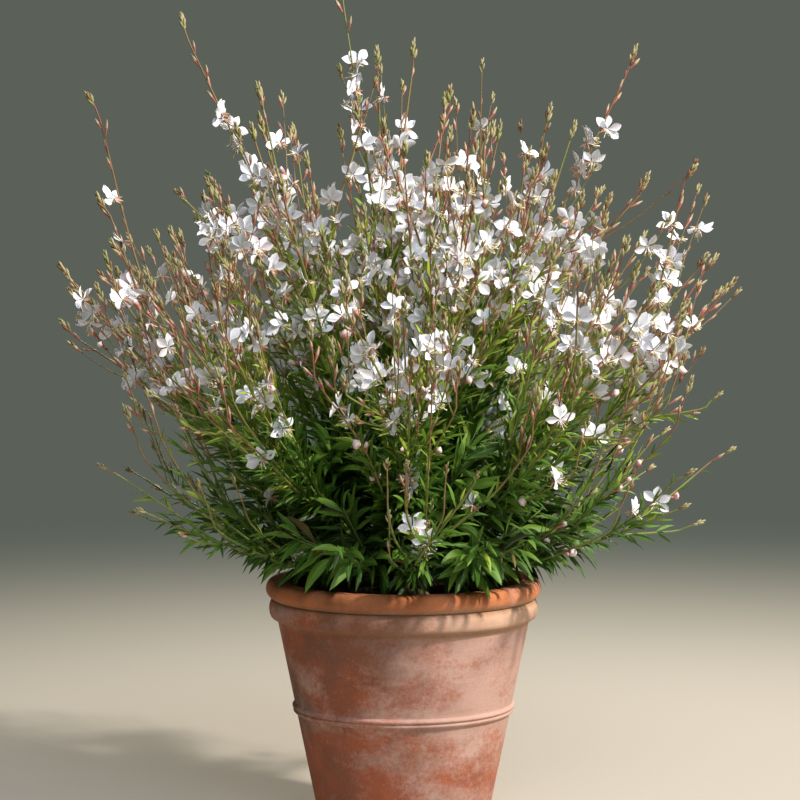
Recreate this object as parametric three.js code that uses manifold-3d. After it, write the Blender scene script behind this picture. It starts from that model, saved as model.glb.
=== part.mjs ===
// A gaura in a terracotta pot: leafy stems fan out of one root crown and end in
// thin wands with white four-petalled flowers, pink buds and pale bud tips.
// Millimetres. +Z is up, +X is to the right and -Y is towards the viewer.
// The origin is the centre of the pot's flat underside.
import * as THREE from "three";
import { mergeVertices } from "three/addons/utils/BufferGeometryUtils.js";
import Module from "manifold-3d";

const wasm = await Module();
wasm.setup();

const GAP = 0.3; // between pieces that meet
const CLEARANCE = 0.5; // least distance between foliage and another piece
const SEAM = 0.02; // edges shorter than this are drawn together

// The pot, from its outside.
const POT = {
  height: 270,
  footRadius: 92,
  shoulderRadius: 137,
  rimRadius: 151,
  rimHeight: 19,
  grooveRadius: 143,
  bandRadius: 147.5,
  bandHeight: 20,
  ringMiddle: 131,
  ringHeight: 8,
  ringProud: 3.5,
  mouthRadius: 128,
  wall: 13,
  floor: 16,
  sides: 36,
  drainRadius: 7,
  drainCircle: 45,
  drains: 3,
};
const SOIL_TOP = POT.height - 20;
const SOIL_EDGE_DROP = 4;
const SOIL_FLAT_RADIUS = 45;

// The root crown, a short woody stub that every stem leaves.
const CROWN = {
  radius: 24,
  footRadius: 33,
  neck: 4,
  hubAboveSoil: 12,
  sides: 20,
  domeSteps: 6,
};
const HUB = new THREE.Vector3(0, 0, SOIL_TOP + CROWN.hubAboveSoil);

// The crown's outline. A place in it is told by its lean from upright, its turn
// about Z and its distance from the hub, and a stem leans further near the hub.
const REACH = 590;
const REACH_FALL = 0.8;
const REACH_FALL_POWER = 2.6;
const BEND = 0.2;

// The leafy masses fill the crown from its heart to this distance from the hub,
// and no further than this share of the reach.
const LEAFY_REACH = 240;
const LEAFY_SHARE = 0.6;

// Main stems in rings round the upright one: how many, their lean, their first turn.
const STEM_RINGS = [
  { count: 1, lean: 3, turn: 200 },
  { count: 5, lean: 20, turn: 4 },
  { count: 8, lean: 45.6, turn: 0 },
  { count: 6, lean: 67, turn: 34 },
];
const STEM = { footRadius: 3, topRadius: 2.1, sides: 5, rings: 3, wobble: 1.3 };

// Leafy masses in rings, set between the main stems.
const LEAFY_RINGS = [
  { count: 3, lean: 33, turn: 64 },
  { count: 6, lean: 63.7, turn: 10 },
];
const TWIG = {
  stemRadius: 2,
  footRadius: 1.8,
  tipRadius: 1.1,
  count: 5,
  spread: [12, 21], // degrees from the mass's own stem
  from: [0.1, 0.4], // of the way out, where it leaves that stem
  to: [0.72, 0.92], // of the mass's reach
  stemTo: 0.86,
  bareFoot: 30,
  leaves: 11,
};
const LOW_LEAN = 58; // wands that lean further are leafy and hardly flower

// Wands that stand out of the crown's outline: lean from upright (negative to
// the left), turn towards the back (negative to the front) and reach in mm.
const TALL_WANDS = [
  { lean: -6, turn: -8, reach: 662 },
  { lean: -22, turn: 6, reach: 668 },
  { lean: -33, turn: -5, reach: 632 },
  { lean: -46, turn: 4, reach: 514 },
  { lean: 2, turn: 60, reach: 592 },
  { lean: 10, turn: -30, reach: 618 },
  { lean: 24, turn: 8, reach: 642 },
  { lean: 34, turn: -6, reach: 560 },
  { lean: 43, turn: 9, reach: 500 },
  { lean: 50, turn: -4, reach: 503 },
  { lean: 71, turn: -6, reach: 332 },
  { lean: -64, turn: 5, reach: 352 },
];
const WANDS_PER_STEM = 3; // besides the stem's own tip
const WAND = {
  footRadius: 1.9,
  tipRadius: 1.1,
  sides: 3,
  rings: 3,
  spread: [8, 12], // degrees from the stem's own tip
  from: [0.07, 0.32], // of the way out, where it leaves the stem
  reach: [0.84, 1], // of the crown's reach there
  leaderReach: [0.92, 1],
  wobble: 1.6,
  mostLean: 73,
  tries: 3,
};
const TIP = { length: 27, widest: 0.55, swell: 3.6, point: 0.6 }; // tight buds at a wand's end

// A blade leaves its stem by this much sideways for each step forward.
const BUD = { length: 17, width: 4.4, fold: 0.1, sideways: 0.45, belowTip: 42 };
const STEM_LEAF = { length: 36, width: 7, fold: 0.05, sideways: 0.8 };
const BASE_LEAF = { length: 70, width: 13, fold: 0.06, sideways: 0.85, sag: 0.35 };
const LEAF_WIDEST = 0.42; // of a leaf's length, from its root
const BLADE_ROOM = 0.36; // of a blade's width, kept free round its midrib

const FLOWER = {
  petal: 16.5,
  petalTurn: 18, // half the width of a petal's end, seen from the throat
  notch: 4.6,
  throat: 2.4,
  thickness: 1.3,
  cup: 0.15,
  tube: 11,
  rise: 0.8, // along the wand for each step sideways
  lift: 0.3, // the same, straight up
  belowTip: 98,
  spacing: 46,
  pairFrom: 240, // wands at least this long have two
};
const PETAL_SPACING = 55;
const PETAL_ANGLES = [-1.5, -0.5, 0.5, 1.5].map((step) => step * PETAL_SPACING);

// Each wand and twig draws its numbers from a stream of its own.
const SEED = { stem: 100, spread: 900, wand: 2000, twig: 5000 };

const UP = new THREE.Vector3(0, 0, 1);
const RAD = Math.PI / 180;
const GOLDEN = 137.508;

// A stream of numbers from 0 to 1 that is the same on every run.
function randomStream(seed) {
  let state = seed >>> 0;
  return () => {
    state = (state + 0x6d2b79f5) >>> 0;
    let mixed = Math.imul(state ^ (state >>> 15), state | 1);
    mixed ^= mixed + Math.imul(mixed ^ (mixed >>> 7), mixed | 61);
    return ((mixed ^ (mixed >>> 14)) >>> 0) / 2 ** 32;
  };
}

function mix(a, b, t) {
  return a + (b - a) * t;
}

// Solids

function solidOf(geometry) {
  const bare = geometry.clone();
  bare.deleteAttribute("normal");
  bare.deleteAttribute("uv");
  const merged = mergeVertices(bare, 1e-4);
  const corners = [];
  for (let i = 0; i < merged.index.count; i += 3) {
    const [a, b, c] = merged.index.array.slice(i, i + 3);
    if (a !== b && b !== c && c !== a) corners.push(a, b, c);
  }
  return new wasm.Manifold(
    new wasm.Mesh({
      numProp: 3,
      vertProperties: new Float32Array(merged.attributes.position.array),
      triVerts: new Uint32Array(corners),
    }),
  );
}

function geometryOf(solid) {
  const mesh = solid.getMesh();
  return new THREE.BufferGeometry()
    .setAttribute("position", new THREE.BufferAttribute(mesh.vertProperties, 3))
    .setIndex(new THREE.BufferAttribute(mesh.triVerts, 1));
}

// The largest of a solid's bodies, which leaves out loose scrap and fills a sealed hollow.
function mainBody(solid) {
  return solid.decompose().reduce((a, b) => (b.volume() > a.volume() ? b : a));
}

// Whether a seam of the solid has corners so close that they would fall together.
function hasCrampedSeam(solid) {
  const geometry = geometryOf(solid);
  return [1e-2, 1e-3, 1e-4].some(
    (tolerance) => mergeVertices(geometry, tolerance).attributes.position.count < solid.numVert(),
  );
}

// A cylinder whose rings are moved onto the path's points, with a radius for each.
function sweep(path, radii, sides) {
  const geometry = new THREE.CylinderGeometry(1, 1, 1, sides, path.length - 1);
  const last = path.length - 1;
  const across = new THREE.Vector3().crossVectors(path[last].clone().sub(path[0]), UP);
  if (across.length() < 1) across.set(1, 0, 0);
  across.normalize();
  const frames = path.map((point, i) => {
    const along = path[Math.min(i + 1, last)].clone().sub(path[Math.max(i - 1, 0)]);
    along.normalize();
    const side = across.clone().addScaledVector(along, -across.dot(along)).normalize();
    return { point, side, front: new THREE.Vector3().crossVectors(side, along) };
  });
  const position = geometry.attributes.position;
  for (let i = 0; i < position.count; i++) {
    const ring = Math.round((position.getY(i) + 0.5) * last);
    const { point, side, front } = frames[ring];
    const moved = point
      .clone()
      .addScaledVector(side, position.getX(i) * radii[ring])
      .addScaledVector(front, position.getZ(i) * radii[ring]);
    position.setXYZ(i, moved.x, moved.y, moved.z);
  }
  return geometry;
}

// A four-faced blade: its two sides stand above the straight midrib from root to tip,
// by a share of the length.
function leafBlade({ root, tip, width, fold, roll }) {
  const along = tip.clone().sub(root);
  const length = along.length();
  const side = new THREE.Vector3().crossVectors(UP, along);
  if (side.length() < 0.1 * length) side.set(1, 0, 0);
  side.normalize().applyAxisAngle(along.clone().normalize(), roll);
  const face = new THREE.Vector3().crossVectors(along, side).normalize();
  const geometry = new THREE.TetrahedronGeometry(1);
  const position = geometry.attributes.position;
  for (let i = 0; i < position.count; i++) {
    const onMidrib = position.getZ(i) > 0;
    const moved = root.clone();
    if (onMidrib && position.getX(i) > 0) moved.copy(tip);
    if (!onMidrib) {
      moved
        .addScaledVector(along, LEAF_WIDEST)
        .addScaledVector(side, (-Math.sign(position.getY(i)) * width) / 2)
        .addScaledVector(face, fold * length);
    }
    position.setXYZ(i, moved.x, moved.y, moved.z);
  }
  return geometry;
}

function turned(radius, degrees) {
  return new THREE.Vector2(radius * Math.sin(degrees * RAD), radius * Math.cos(degrees * RAD));
}

// The outline of a flower seen from the front, clockwise from the foot of its tube:
// four petals above the throat, with notches between them.
const flowerOutline = [
  turned(FLOWER.tube + 1, 180),
  turned(FLOWER.throat, -150),
  ...PETAL_ANGLES.flatMap((angle, i) => [
    ...(i > 0 ? [turned(FLOWER.notch, angle - PETAL_SPACING / 2)] : []),
    turned(FLOWER.petal, angle - FLOWER.petalTurn),
    turned(FLOWER.petal, angle + FLOWER.petalTurn),
  ]),
  turned(FLOWER.throat, 150),
];

// The flower as a thin lens: a sphere of two cones whose rim is moved onto the outline,
// cupped towards the front.
function flowerLens(throat, out, facing) {
  const side = new THREE.Vector3().crossVectors(facing, out);
  const count = flowerOutline.length;
  const geometry = new THREE.SphereGeometry(1, count, 2);
  const position = geometry.attributes.position;
  for (let i = 0; i < position.count; i++) {
    const height = position.getY(i);
    const moved = throat.clone();
    if (Math.abs(height) > 0.5) {
      moved.addScaledVector(facing, height * FLOWER.thickness);
    } else {
      const turn = Math.atan2(position.getZ(i), -position.getX(i)) / (2 * Math.PI);
      const corner = flowerOutline[Math.round(turn * count + count) % count];
      const cup = corner.length() > FLOWER.tube + 2 ? FLOWER.cup * corner.length() : 0;
      moved.addScaledVector(side, corner.x).addScaledVector(out, corner.y);
      moved.addScaledVector(facing, cup);
    }
    position.setXYZ(i, moved.x, moved.y, moved.z);
  }
  return geometry;
}

// Places in the crown

function direction(lean, turn) {
  return new THREE.Vector3(
    Math.sin(lean) * Math.cos(turn),
    Math.sin(lean) * Math.sin(turn),
    Math.cos(lean),
  );
}

function reachAt(lean) {
  return REACH * (1 - REACH_FALL * (lean / (Math.PI / 2)) ** REACH_FALL_POWER);
}

// The point at a distance from the hub on the stem whose tip has this heading.
function placeOn(heading, distance) {
  const lean = Math.acos(THREE.MathUtils.clamp(heading.z, -1, 1));
  const turn = Math.atan2(heading.y, heading.x);
  const bent = lean * (1 + BEND * (1 - distance / REACH));
  return direction(bent, turn).multiplyScalar(distance).add(HUB);
}

// The heading of the stem that would pass through a point.
function headingOf(point) {
  const arm = point.clone().sub(HUB);
  const distance = arm.length();
  const lean = Math.acos(arm.z / distance) / (1 + BEND * (1 - distance / REACH));
  return direction(lean, Math.atan2(arm.y, arm.x));
}

function ringHeadings(rings) {
  return rings.flatMap(({ count, lean, turn }) =>
    Array.from({ length: count }, (_, i) =>
      direction(lean * RAD, (turn + (360 / count) * i) * RAD),
    ),
  );
}

const stemHeadings = ringHeadings(STEM_RINGS);
const leafyHeadings = ringHeadings(LEAFY_RINGS);

// How much nearer a point's heading is to its own mass than to any other, in mm.
function roomInCell(point, headings, own) {
  const heading = headingOf(point);
  const angles = headings.map((h) => heading.angleTo(h));
  const other = Math.min(...angles.filter((_, i) => i !== own));
  return ((other - angles[own]) / 2) * point.distanceTo(HUB);
}

// Whether a point lies clear of the pot and the soil.
function clearOfPot(point) {
  const out = Math.hypot(point.x, point.y);
  if (out < POT.mouthRadius - 3) return point.z > SOIL_TOP + 2;
  if (out < POT.rimRadius + 3) return point.z > POT.height + 2;
  return point.z > POT.height - 25;
}

// Everything grown so far, as capsules, so that no two nodes touch, and within a
// node only a part and the one that it grows from do.
const grown = [];
const OWN_SHARE = 0.5; // of the capsules' radii, between parts of one node

function segmentDistance(p, q) {
  const d1 = p.to.clone().sub(p.from);
  const d2 = q.to.clone().sub(q.from);
  const r = p.from.clone().sub(q.from);
  const a = d1.lengthSq() || 1e-9;
  const e = d2.lengthSq() || 1e-9;
  const b = d1.dot(d2);
  const c = d1.dot(r);
  const f = d2.dot(r);
  const denominator = a * e - b * b;
  const clamp = (x) => Math.min(Math.max(x, 0), 1);
  let s = denominator > 1e-9 ? clamp((b * f - c * e) / denominator) : 0;
  let t = (b * s + f) / e;
  if (t < 0 || t > 1) {
    t = clamp(t);
    s = clamp((b * t - c) / a);
  }
  const gap = r.addScaledVector(d1, s).addScaledVector(d2, -t);
  return gap.length();
}

function isClear(node, part, parent) {
  return part.capsules.every(
    (piece) =>
      clearOfPot(piece.to) &&
      clearOfPot(piece.from.clone().lerp(piece.to, 0.5)) &&
      grown.every((other) => {
        if (other.part === parent) return true;
        const radii = piece.radius + other.radius;
        const room = other.node === node ? radii * OWN_SHARE : radii + CLEARANCE;
        return segmentDistance(piece, other) > room;
      }),
  );
}

function keep(node, part) {
  part.capsules.forEach((piece) => grown.push({ node, part, ...piece }));
}

function capsulesAlong(path, radius) {
  return path.slice(1).map((to, i) => ({ from: path[i], to, radius }));
}

// The pot, the soil and the root crown

function lathed(points, sides) {
  return new THREE.LatheGeometry(points, sides).rotateX(Math.PI / 2);
}

// Points of a rounded moulding from one height down to another, bulging to a radius.
function moulding(top, bottom, inner, outer, steps) {
  return Array.from({ length: steps + 1 }, (_, i) => {
    const angle = (Math.PI * i) / steps;
    return new THREE.Vector2(
      inner + (outer - inner) * Math.sin(angle),
      (top + bottom) / 2 + ((top - bottom) / 2) * Math.cos(angle),
    );
  });
}

function wallRadius(height) {
  const underBand = POT.height - POT.rimHeight - POT.bandHeight;
  return mix(POT.footRadius, POT.shoulderRadius, height / underBand);
}

function makePot() {
  const rimFoot = POT.height - POT.rimHeight;
  const bandFoot = rimFoot - POT.bandHeight;
  const ringTop = POT.ringMiddle + POT.ringHeight / 2;
  const ringFoot = POT.ringMiddle - POT.ringHeight / 2;
  const profile = [
    new THREE.Vector2(0, POT.floor),
    new THREE.Vector2(wallRadius(POT.floor) - POT.wall, POT.floor),
    new THREE.Vector2(POT.mouthRadius, rimFoot),
    new THREE.Vector2(POT.mouthRadius, POT.height - 3),
    new THREE.Vector2(POT.mouthRadius + 3, POT.height),
    ...moulding(POT.height, rimFoot, POT.grooveRadius, POT.rimRadius, 4),
    ...moulding(rimFoot, bandFoot, POT.grooveRadius, POT.bandRadius, 3).slice(1, -1),
    new THREE.Vector2(wallRadius(bandFoot) + 1, bandFoot),
    new THREE.Vector2(wallRadius(ringTop), ringTop),
    new THREE.Vector2(wallRadius(POT.ringMiddle) + POT.ringProud, POT.ringMiddle + 1),
    new THREE.Vector2(wallRadius(ringFoot), ringFoot),
    new THREE.Vector2(POT.footRadius, 0),
    new THREE.Vector2(0, 0),
  ].reverse();
  const body = solidOf(lathed(profile, POT.sides));
  const drains = Array.from({ length: POT.drains }, (_, i) => {
    const turn = (2 * Math.PI * (i + 0.25)) / POT.drains;
    const drill = new THREE.CylinderGeometry(
      POT.drainRadius,
      POT.drainRadius,
      2 * POT.floor,
      10,
    );
    return solidOf(
      drill
        .rotateX(Math.PI / 2)
        .translate(Math.cos(turn) * POT.drainCircle, Math.sin(turn) * POT.drainCircle, POT.floor / 2),
    );
  });
  return geometryOf(body.subtract(wasm.Manifold.union(drains)));
}

// The radius of the pot's inside at a height.
function insideRadius(height) {
  const rimFoot = POT.height - POT.rimHeight;
  const share = Math.min((height - POT.floor) / (rimFoot - POT.floor), 1);
  return mix(wallRadius(POT.floor) - POT.wall, POT.mouthRadius, share);
}

function makeSoil() {
  const foot = POT.floor + GAP;
  const edge = SOIL_TOP - SOIL_EDGE_DROP;
  return lathed(
    [
      new THREE.Vector2(0, foot),
      new THREE.Vector2(insideRadius(foot) - GAP - 0.1, foot),
      new THREE.Vector2(insideRadius(edge) - GAP - 0.1, edge),
      new THREE.Vector2(SOIL_FLAT_RADIUS, SOIL_TOP),
      new THREE.Vector2(0, SOIL_TOP),
    ],
    POT.sides,
  );
}

function makeRootCrown() {
  const foot = SOIL_TOP + GAP;
  const shoulder = HUB.z - CROWN.neck;
  const dome = Array.from({ length: CROWN.domeSteps + 1 }, (_, i) =>
    turned(CROWN.radius, 90 - (90 * i) / CROWN.domeSteps).add(new THREE.Vector2(0, HUB.z)),
  );
  return lathed(
    [
      new THREE.Vector2(0, foot),
      new THREE.Vector2(CROWN.footRadius, foot),
      new THREE.Vector2(mix(CROWN.footRadius, CROWN.radius, 0.75), mix(foot, shoulder, 0.5)),
      new THREE.Vector2(CROWN.radius, shoulder),
      ...dome,
    ],
    CROWN.sides,
  );
}

// Stems and wands

function leanOf(heading) {
  return Math.acos(THREE.MathUtils.clamp(heading.z, -1, 1));
}

// How far the leafy masses reach on this heading, which is where the main stems end.
function leafyEnd(heading) {
  return Math.min(LEAFY_REACH, LEAFY_SHARE * reachAt(leanOf(heading)));
}

// Points from one distance to another on a way that turns from one heading to another.
function growPath({ from, to, start, end, rings, wobble }, random) {
  const phase = random() * 2 * Math.PI;
  return Array.from({ length: rings + 1 }, (_, i) => {
    const share = i / rings;
    const heading = from.clone().lerp(to, share ** 0.8).normalize();
    const sway = Math.sin(phase + share * 4.5) * wobble * RAD * Math.sin(Math.PI * share);
    heading.applyAxisAngle(UP, sway);
    return placeOn(heading, mix(start, end, share));
  });
}

function stemPath(heading, random) {
  const plan = {
    from: heading,
    to: heading,
    start: CROWN.radius + GAP,
    end: leafyEnd(heading),
    rings: STEM.rings,
    wobble: STEM.wobble,
  };
  return growPath(plan, random);
}

function taper(from, to, count) {
  return Array.from({ length: count }, (_, i) => mix(from, to, i / (count - 1)));
}

// The point of a path at a distance from the hub, and the way it runs there.
function pointAt(path, distance) {
  const distances = path.map((point) => point.distanceTo(HUB));
  const beyond = distances.findIndex((d) => d > distance);
  const i = beyond < 1 ? path.length - 1 : beyond;
  const share = (distance - distances[i - 1]) / (distances[i] - distances[i - 1]);
  return {
    point: path[i - 1].clone().lerp(path[i], share),
    along: path[i].clone().sub(path[i - 1]).normalize(),
  };
}

// A direction that leaves a stem sideways, turned about it by an angle.
function awayFrom(along, angle) {
  const side = new THREE.Vector3().crossVectors(along, UP);
  if (side.length() < 0.05) side.set(1, 0, 0);
  return side.normalize().applyAxisAngle(along, angle);
}

// A part of a mass: its geometry, and the capsules that hold it.
function sweptPart(path, radii, sides) {
  const capsules = path.slice(1).map((to, i) => ({
    from: path[i],
    to,
    radius: Math.max(radii[i], radii[i + 1]),
  }));
  return { geometry: sweep(path, radii, sides), capsules };
}

// A wand out to its reach, its end swollen as tight buds.
function growWand(plan, random) {
  const path = growPath({ ...plan, end: plan.reach - TIP.length }, random);
  const radii = taper(plan.radius, WAND.tipRadius, path.length);
  path.push(placeOn(plan.to, plan.reach - TIP.length * TIP.widest));
  path.push(placeOn(plan.to, plan.reach));
  radii.push(TIP.swell, TIP.point);
  return { path, part: sweptPart(path, radii, WAND.sides) };
}

function growFlower({ point, along }, angle) {
  const out = awayFrom(along, angle).addScaledVector(along, FLOWER.rise);
  out.addScaledVector(UP, FLOWER.lift).normalize();
  const facing = point.clone().sub(HUB).setZ(0).normalize();
  facing.addScaledVector(out, -facing.dot(out)).normalize();
  const throat = point.clone().addScaledVector(out, FLOWER.tube);
  return {
    geometry: flowerLens(throat, out, facing),
    capsules: [{ from: throat, to: throat, radius: FLOWER.petal + 1 }],
  };
}

function growBlade({ point, along }, { length, width, fold, sideways, sag = 0 }, angle, roll) {
  const out = along.clone().addScaledVector(awayFrom(along, angle), sideways);
  out.z -= sag;
  const tip = point.clone().addScaledVector(out.normalize(), length);
  return {
    geometry: leafBlade({ root: point, tip, width, fold, roll }),
    capsules: [{ from: point, to: tip, radius: width * BLADE_ROOM }],
  };
}

// A mass fuses on only what stays in its own cell, clear of every other node, and
// meets it with an even seam.
function makeMass(node, headings, own, stay) {
  const mass = {
    solid: null,
    add(part, parent) {
      const inCell = part.capsules.every(({ from, to, radius }) =>
        [from, to].every(
          (point) =>
            roomInCell(point, headings, own) > radius + CLEARANCE && stay(point),
        ),
      );
      if (parent && !(inCell && isClear(node, part, parent))) return false;
      const piece = solidOf(part.geometry);
      const joined = mass.solid ? mainBody(mass.solid.add(piece).simplify(SEAM)) : piece;
      if (hasCrampedSeam(joined)) return false;
      mass.solid = joined;
      keep(node, part);
      return true;
    },
  };
  return mass;
}

// Where a mass's wands go: its own tip, its share of the tall ones and some round it.
function wandHeadings(own, random) {
  const heading = stemHeadings[own];
  const leaderReach = reachAt(leanOf(heading)) * mix(...WAND.leaderReach, random());
  const leader = { to: heading, reach: leaderReach };
  const tall = TALL_WANDS.map(({ lean, turn, reach }) => ({
    to: direction(Math.abs(lean) * RAD, (lean < 0 ? 180 - turn : turn) * RAD),
    reach,
  })).filter(({ to }) => {
    const angles = stemHeadings.map((h) => h.angleTo(to));
    return angles.indexOf(Math.min(...angles)) === own;
  });
  const around = Array.from({ length: WANDS_PER_STEM }, (_, i) => {
    const axis = awayFrom(heading, (i / WANDS_PER_STEM + random() * 0.25) * 2 * Math.PI);
    const to = heading.clone().applyAxisAngle(axis, mix(...WAND.spread, random()) * RAD);
    return { to, reach: reachAt(leanOf(to)) * mix(...WAND.reach, random()) };
  }).filter(({ to }) => leanOf(to) < WAND.mostLean * RAD);
  return [leader, ...tall, ...around];
}

// Flowers, buds and small leaves on a wand, from its end inwards. The lowest wands
// are leafier and hardly flower.
function dressWand(mass, { path, part, start, reach, to }, isLeader, random) {
  const isLow = leanOf(to) > LOW_LEAN * RAD;
  const flowers = isLow ? Math.round(0.8 * random()) : reach - start > FLOWER.pairFrom ? 2 : 1;
  for (let k = 0; k < flowers; k++) {
    const place = reach - FLOWER.belowTip - FLOWER.spacing * (k + 0.5 * random());
    const turn = random() * 2 * Math.PI;
    if (place > start + 20) mass.add(growFlower(pointAt(path, place), turn), part);
  }
  const bud = pointAt(path, reach - BUD.belowTip);
  const budTurn = random() * 2 * Math.PI;
  if (isLeader) mass.add(growBlade(bud, BUD, budTurn, 0), part);
  const leaves = (isLeader ? 5 : 1) + (isLow ? 2 : 0);
  for (let k = 0; k < leaves; k++) {
    const place = pointAt(path, mix(start, reach, 0.04 + (0.5 * (k + random())) / leaves));
    const size = { ...STEM_LEAF, length: STEM_LEAF.length * (0.8 + 0.5 * random()) };
    const angle = (k * GOLDEN + 40 * random()) * RAD;
    mass.add(growBlade(place, size, angle, random() - 0.5), part);
  }
}

function makeFlowerMass(own) {
  const node = "flower_mass_" + String(own + 1).padStart(2, "0");
  const heading = stemHeadings[own];
  const foot = leafyEnd(heading) + GAP;
  const mass = makeMass(node, stemHeadings, own, (p) => p.distanceTo(HUB) > foot - 1);
  const wands = [];
  wandHeadings(own, randomStream(SEED.spread + own)).forEach(({ to, reach }, i) => {
    const random = randomStream(SEED.wand + own * 20 + i);
    const leader = wands[0];
    for (let tries = 0; tries < WAND.tries; tries++) {
      const start = leader ? mix(foot, reach, mix(...WAND.from, random())) : foot;
      const plan = {
        from: leader ? headingOf(pointAt(leader.path, start).point) : heading,
        to,
        start,
        reach,
        rings: leader ? WAND.rings - 1 : WAND.rings,
        wobble: WAND.wobble,
        radius: leader ? WAND.footRadius : STEM.topRadius,
      };
      const wand = { ...growWand(plan, random), start, reach, to, random };
      if (!mass.add(wand.part, leader?.part)) continue;
      wands.push(wand);
      break;
    }
  });
  wands.forEach((wand, i) => dressWand(mass, wand, i === 0, wand.random));
  return { node, geometry: geometryOf(mass.solid) };
}

function makeLeafyMass(own) {
  const node = "leafy_mass_" + String(own + 1).padStart(2, "0");
  const heading = leafyHeadings[own];
  const limit = leafyEnd(heading);
  const start = CROWN.radius + GAP;
  const mass = makeMass(node, leafyHeadings, own, (p) => {
    const distance = p.distanceTo(HUB);
    return distance > start - 1 && distance < leafyEnd(headingOf(p)) - 1;
  });
  const end = limit * TWIG.stemTo;
  const plan = { from: heading, to: heading, start, end, rings: 3, wobble: 0 };
  const twigs = [];
  for (let i = 0; i <= TWIG.count; i++) {
    const random = randomStream(SEED.twig + own * 20 + i);
    const stem = twigs[0];
    if (stem) {
      const axis = awayFrom(heading, ((i + 0.4 * random()) / TWIG.count) * 2 * Math.PI);
      const spread = mix(...TWIG.spread, random());
      plan.to = heading.clone().applyAxisAngle(axis, spread * RAD);
      plan.start = mix(start, limit, mix(...TWIG.from, random()));
      plan.end = limit * mix(...TWIG.to, random());
      plan.rings = 2;
    }
    const path = growPath(plan, random);
    const radii = taper(stem ? TWIG.footRadius : TWIG.stemRadius, TWIG.tipRadius, path.length);
    const part = sweptPart(path, radii, WAND.sides);
    const twig = { path, part, from: plan.start, to: plan.end, random };
    if (!stem) twig.from += TWIG.bareFoot;
    if (mass.add(part, stem?.part)) twigs.push(twig);
  }
  twigs.forEach(({ path, part, from, to, random }) => {
    for (let k = 0; k < TWIG.leaves; k++) {
      const share = 0.1 + (0.88 * (k + random())) / TWIG.leaves;
      const length = BASE_LEAF.length * mix(1.1, 0.75, share) * (0.85 + 0.3 * random());
      const angle = (k * GOLDEN + 50 * random()) * RAD;
      const sag = BASE_LEAF.sag * Math.sin(leanOf(heading));
      const place = pointAt(path, mix(from, to, share));
      mass.add(growBlade(place, { ...BASE_LEAF, length, sag }, angle, random() - 0.5), part);
    }
  });
  return { node, geometry: geometryOf(mass.solid) };
}

// The whole plant

const COLOURS = {
  terracotta: { color: 0xb5714f, roughness: 0.9, metalness: 0 },
  soil: { color: 0x3a2c22, roughness: 1, metalness: 0 },
  wood: { color: 0x6b5a3c, roughness: 0.9, metalness: 0 },
  stem: { color: 0x6f8238, roughness: 0.7, metalness: 0 },
  leaves: { color: 0x4c7a2e, roughness: 0.6, metalness: 0 },
  blossom: { color: 0xd9cfc0, roughness: 0.6, metalness: 0 },
};

const group = new THREE.Group();

function addPiece(name, geometry, finish) {
  const mesh = new THREE.Mesh(geometry, new THREE.MeshStandardMaterial(COLOURS[finish]));
  mesh.name = name;
  group.add(mesh);
}

addPiece("pot", makePot(), "terracotta");
addPiece("soil", makeSoil(), "soil");
addPiece("root_crown", makeRootCrown(), "wood");
stemHeadings.forEach((heading, i) => {
  const node = "stem_" + String(i + 1).padStart(2, "0");
  const path = stemPath(heading, randomStream(SEED.stem + i));
  keep(node, { capsules: capsulesAlong(path, STEM.footRadius) });
  const radii = taper(STEM.footRadius, STEM.topRadius, path.length);
  addPiece(node, sweep(path, radii, STEM.sides), "stem");
});
leafyHeadings.forEach((_, i) => {
  const { node, geometry } = makeLeafyMass(i);
  addPiece(node, geometry, "leaves");
});
stemHeadings.forEach((_, i) => {
  const { node, geometry } = makeFlowerMass(i);
  addPiece(node, geometry, "blossom");
});

export default group;
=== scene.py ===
"""A white gaura in a weathered terracotta pot: leafy shoots fan out of one root crown and
end in thin wands with white four-petalled flowers, rose buds and pale bud tips.

The growth is worked out in millimetres, +Z up and -Y towards the viewer, with the origin
at the centre of the pot's flat underside. Meshes are made in metres.
"""

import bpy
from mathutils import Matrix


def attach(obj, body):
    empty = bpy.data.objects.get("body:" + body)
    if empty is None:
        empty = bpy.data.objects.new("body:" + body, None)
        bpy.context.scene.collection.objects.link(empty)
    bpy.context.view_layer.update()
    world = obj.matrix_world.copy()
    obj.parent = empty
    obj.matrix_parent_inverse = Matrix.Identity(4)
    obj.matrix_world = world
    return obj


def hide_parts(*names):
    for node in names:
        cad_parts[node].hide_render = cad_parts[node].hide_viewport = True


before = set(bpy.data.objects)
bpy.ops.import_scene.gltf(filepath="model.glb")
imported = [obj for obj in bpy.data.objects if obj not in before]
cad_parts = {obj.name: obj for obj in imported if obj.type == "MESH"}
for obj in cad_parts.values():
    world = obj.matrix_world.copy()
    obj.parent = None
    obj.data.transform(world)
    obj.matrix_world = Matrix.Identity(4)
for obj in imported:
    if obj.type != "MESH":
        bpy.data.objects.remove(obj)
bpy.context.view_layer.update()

import functools
import math
from dataclasses import dataclass
from types import SimpleNamespace as Sizes

import bmesh
import bpy
import numpy as np
from bpy.props import FloatProperty, FloatVectorProperty, IntProperty, PointerProperty
from bpy.types import Operator, Panel, PropertyGroup

bl_info = {
    "name": "Potted gaura",
    "version": (1, 0, 0),
    "blender": (4, 5, 0),
    "location": "3D View > Sidebar > Gaura",
    "description": "Builds a flowering gaura in a terracotta pot",
    "category": "Object",
}

MM = 0.001
RAD = math.pi / 180
GOLDEN = 137.508  # degrees from one leaf or bud to the next round a stem
UP = np.array((0.0, 0.0, 1.0))


def linear(code):
    """An sRGB hex colour as the linear colour that a shader wants."""
    parts = [int(code[i : i + 2], 16) / 255 for i in (1, 3, 5)]
    curve = [c / 12.92 if c <= 0.04045 else ((c + 0.055) / 1.055) ** 2.4 for c in parts]
    return (*curve, 1.0)


# Settings


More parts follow.
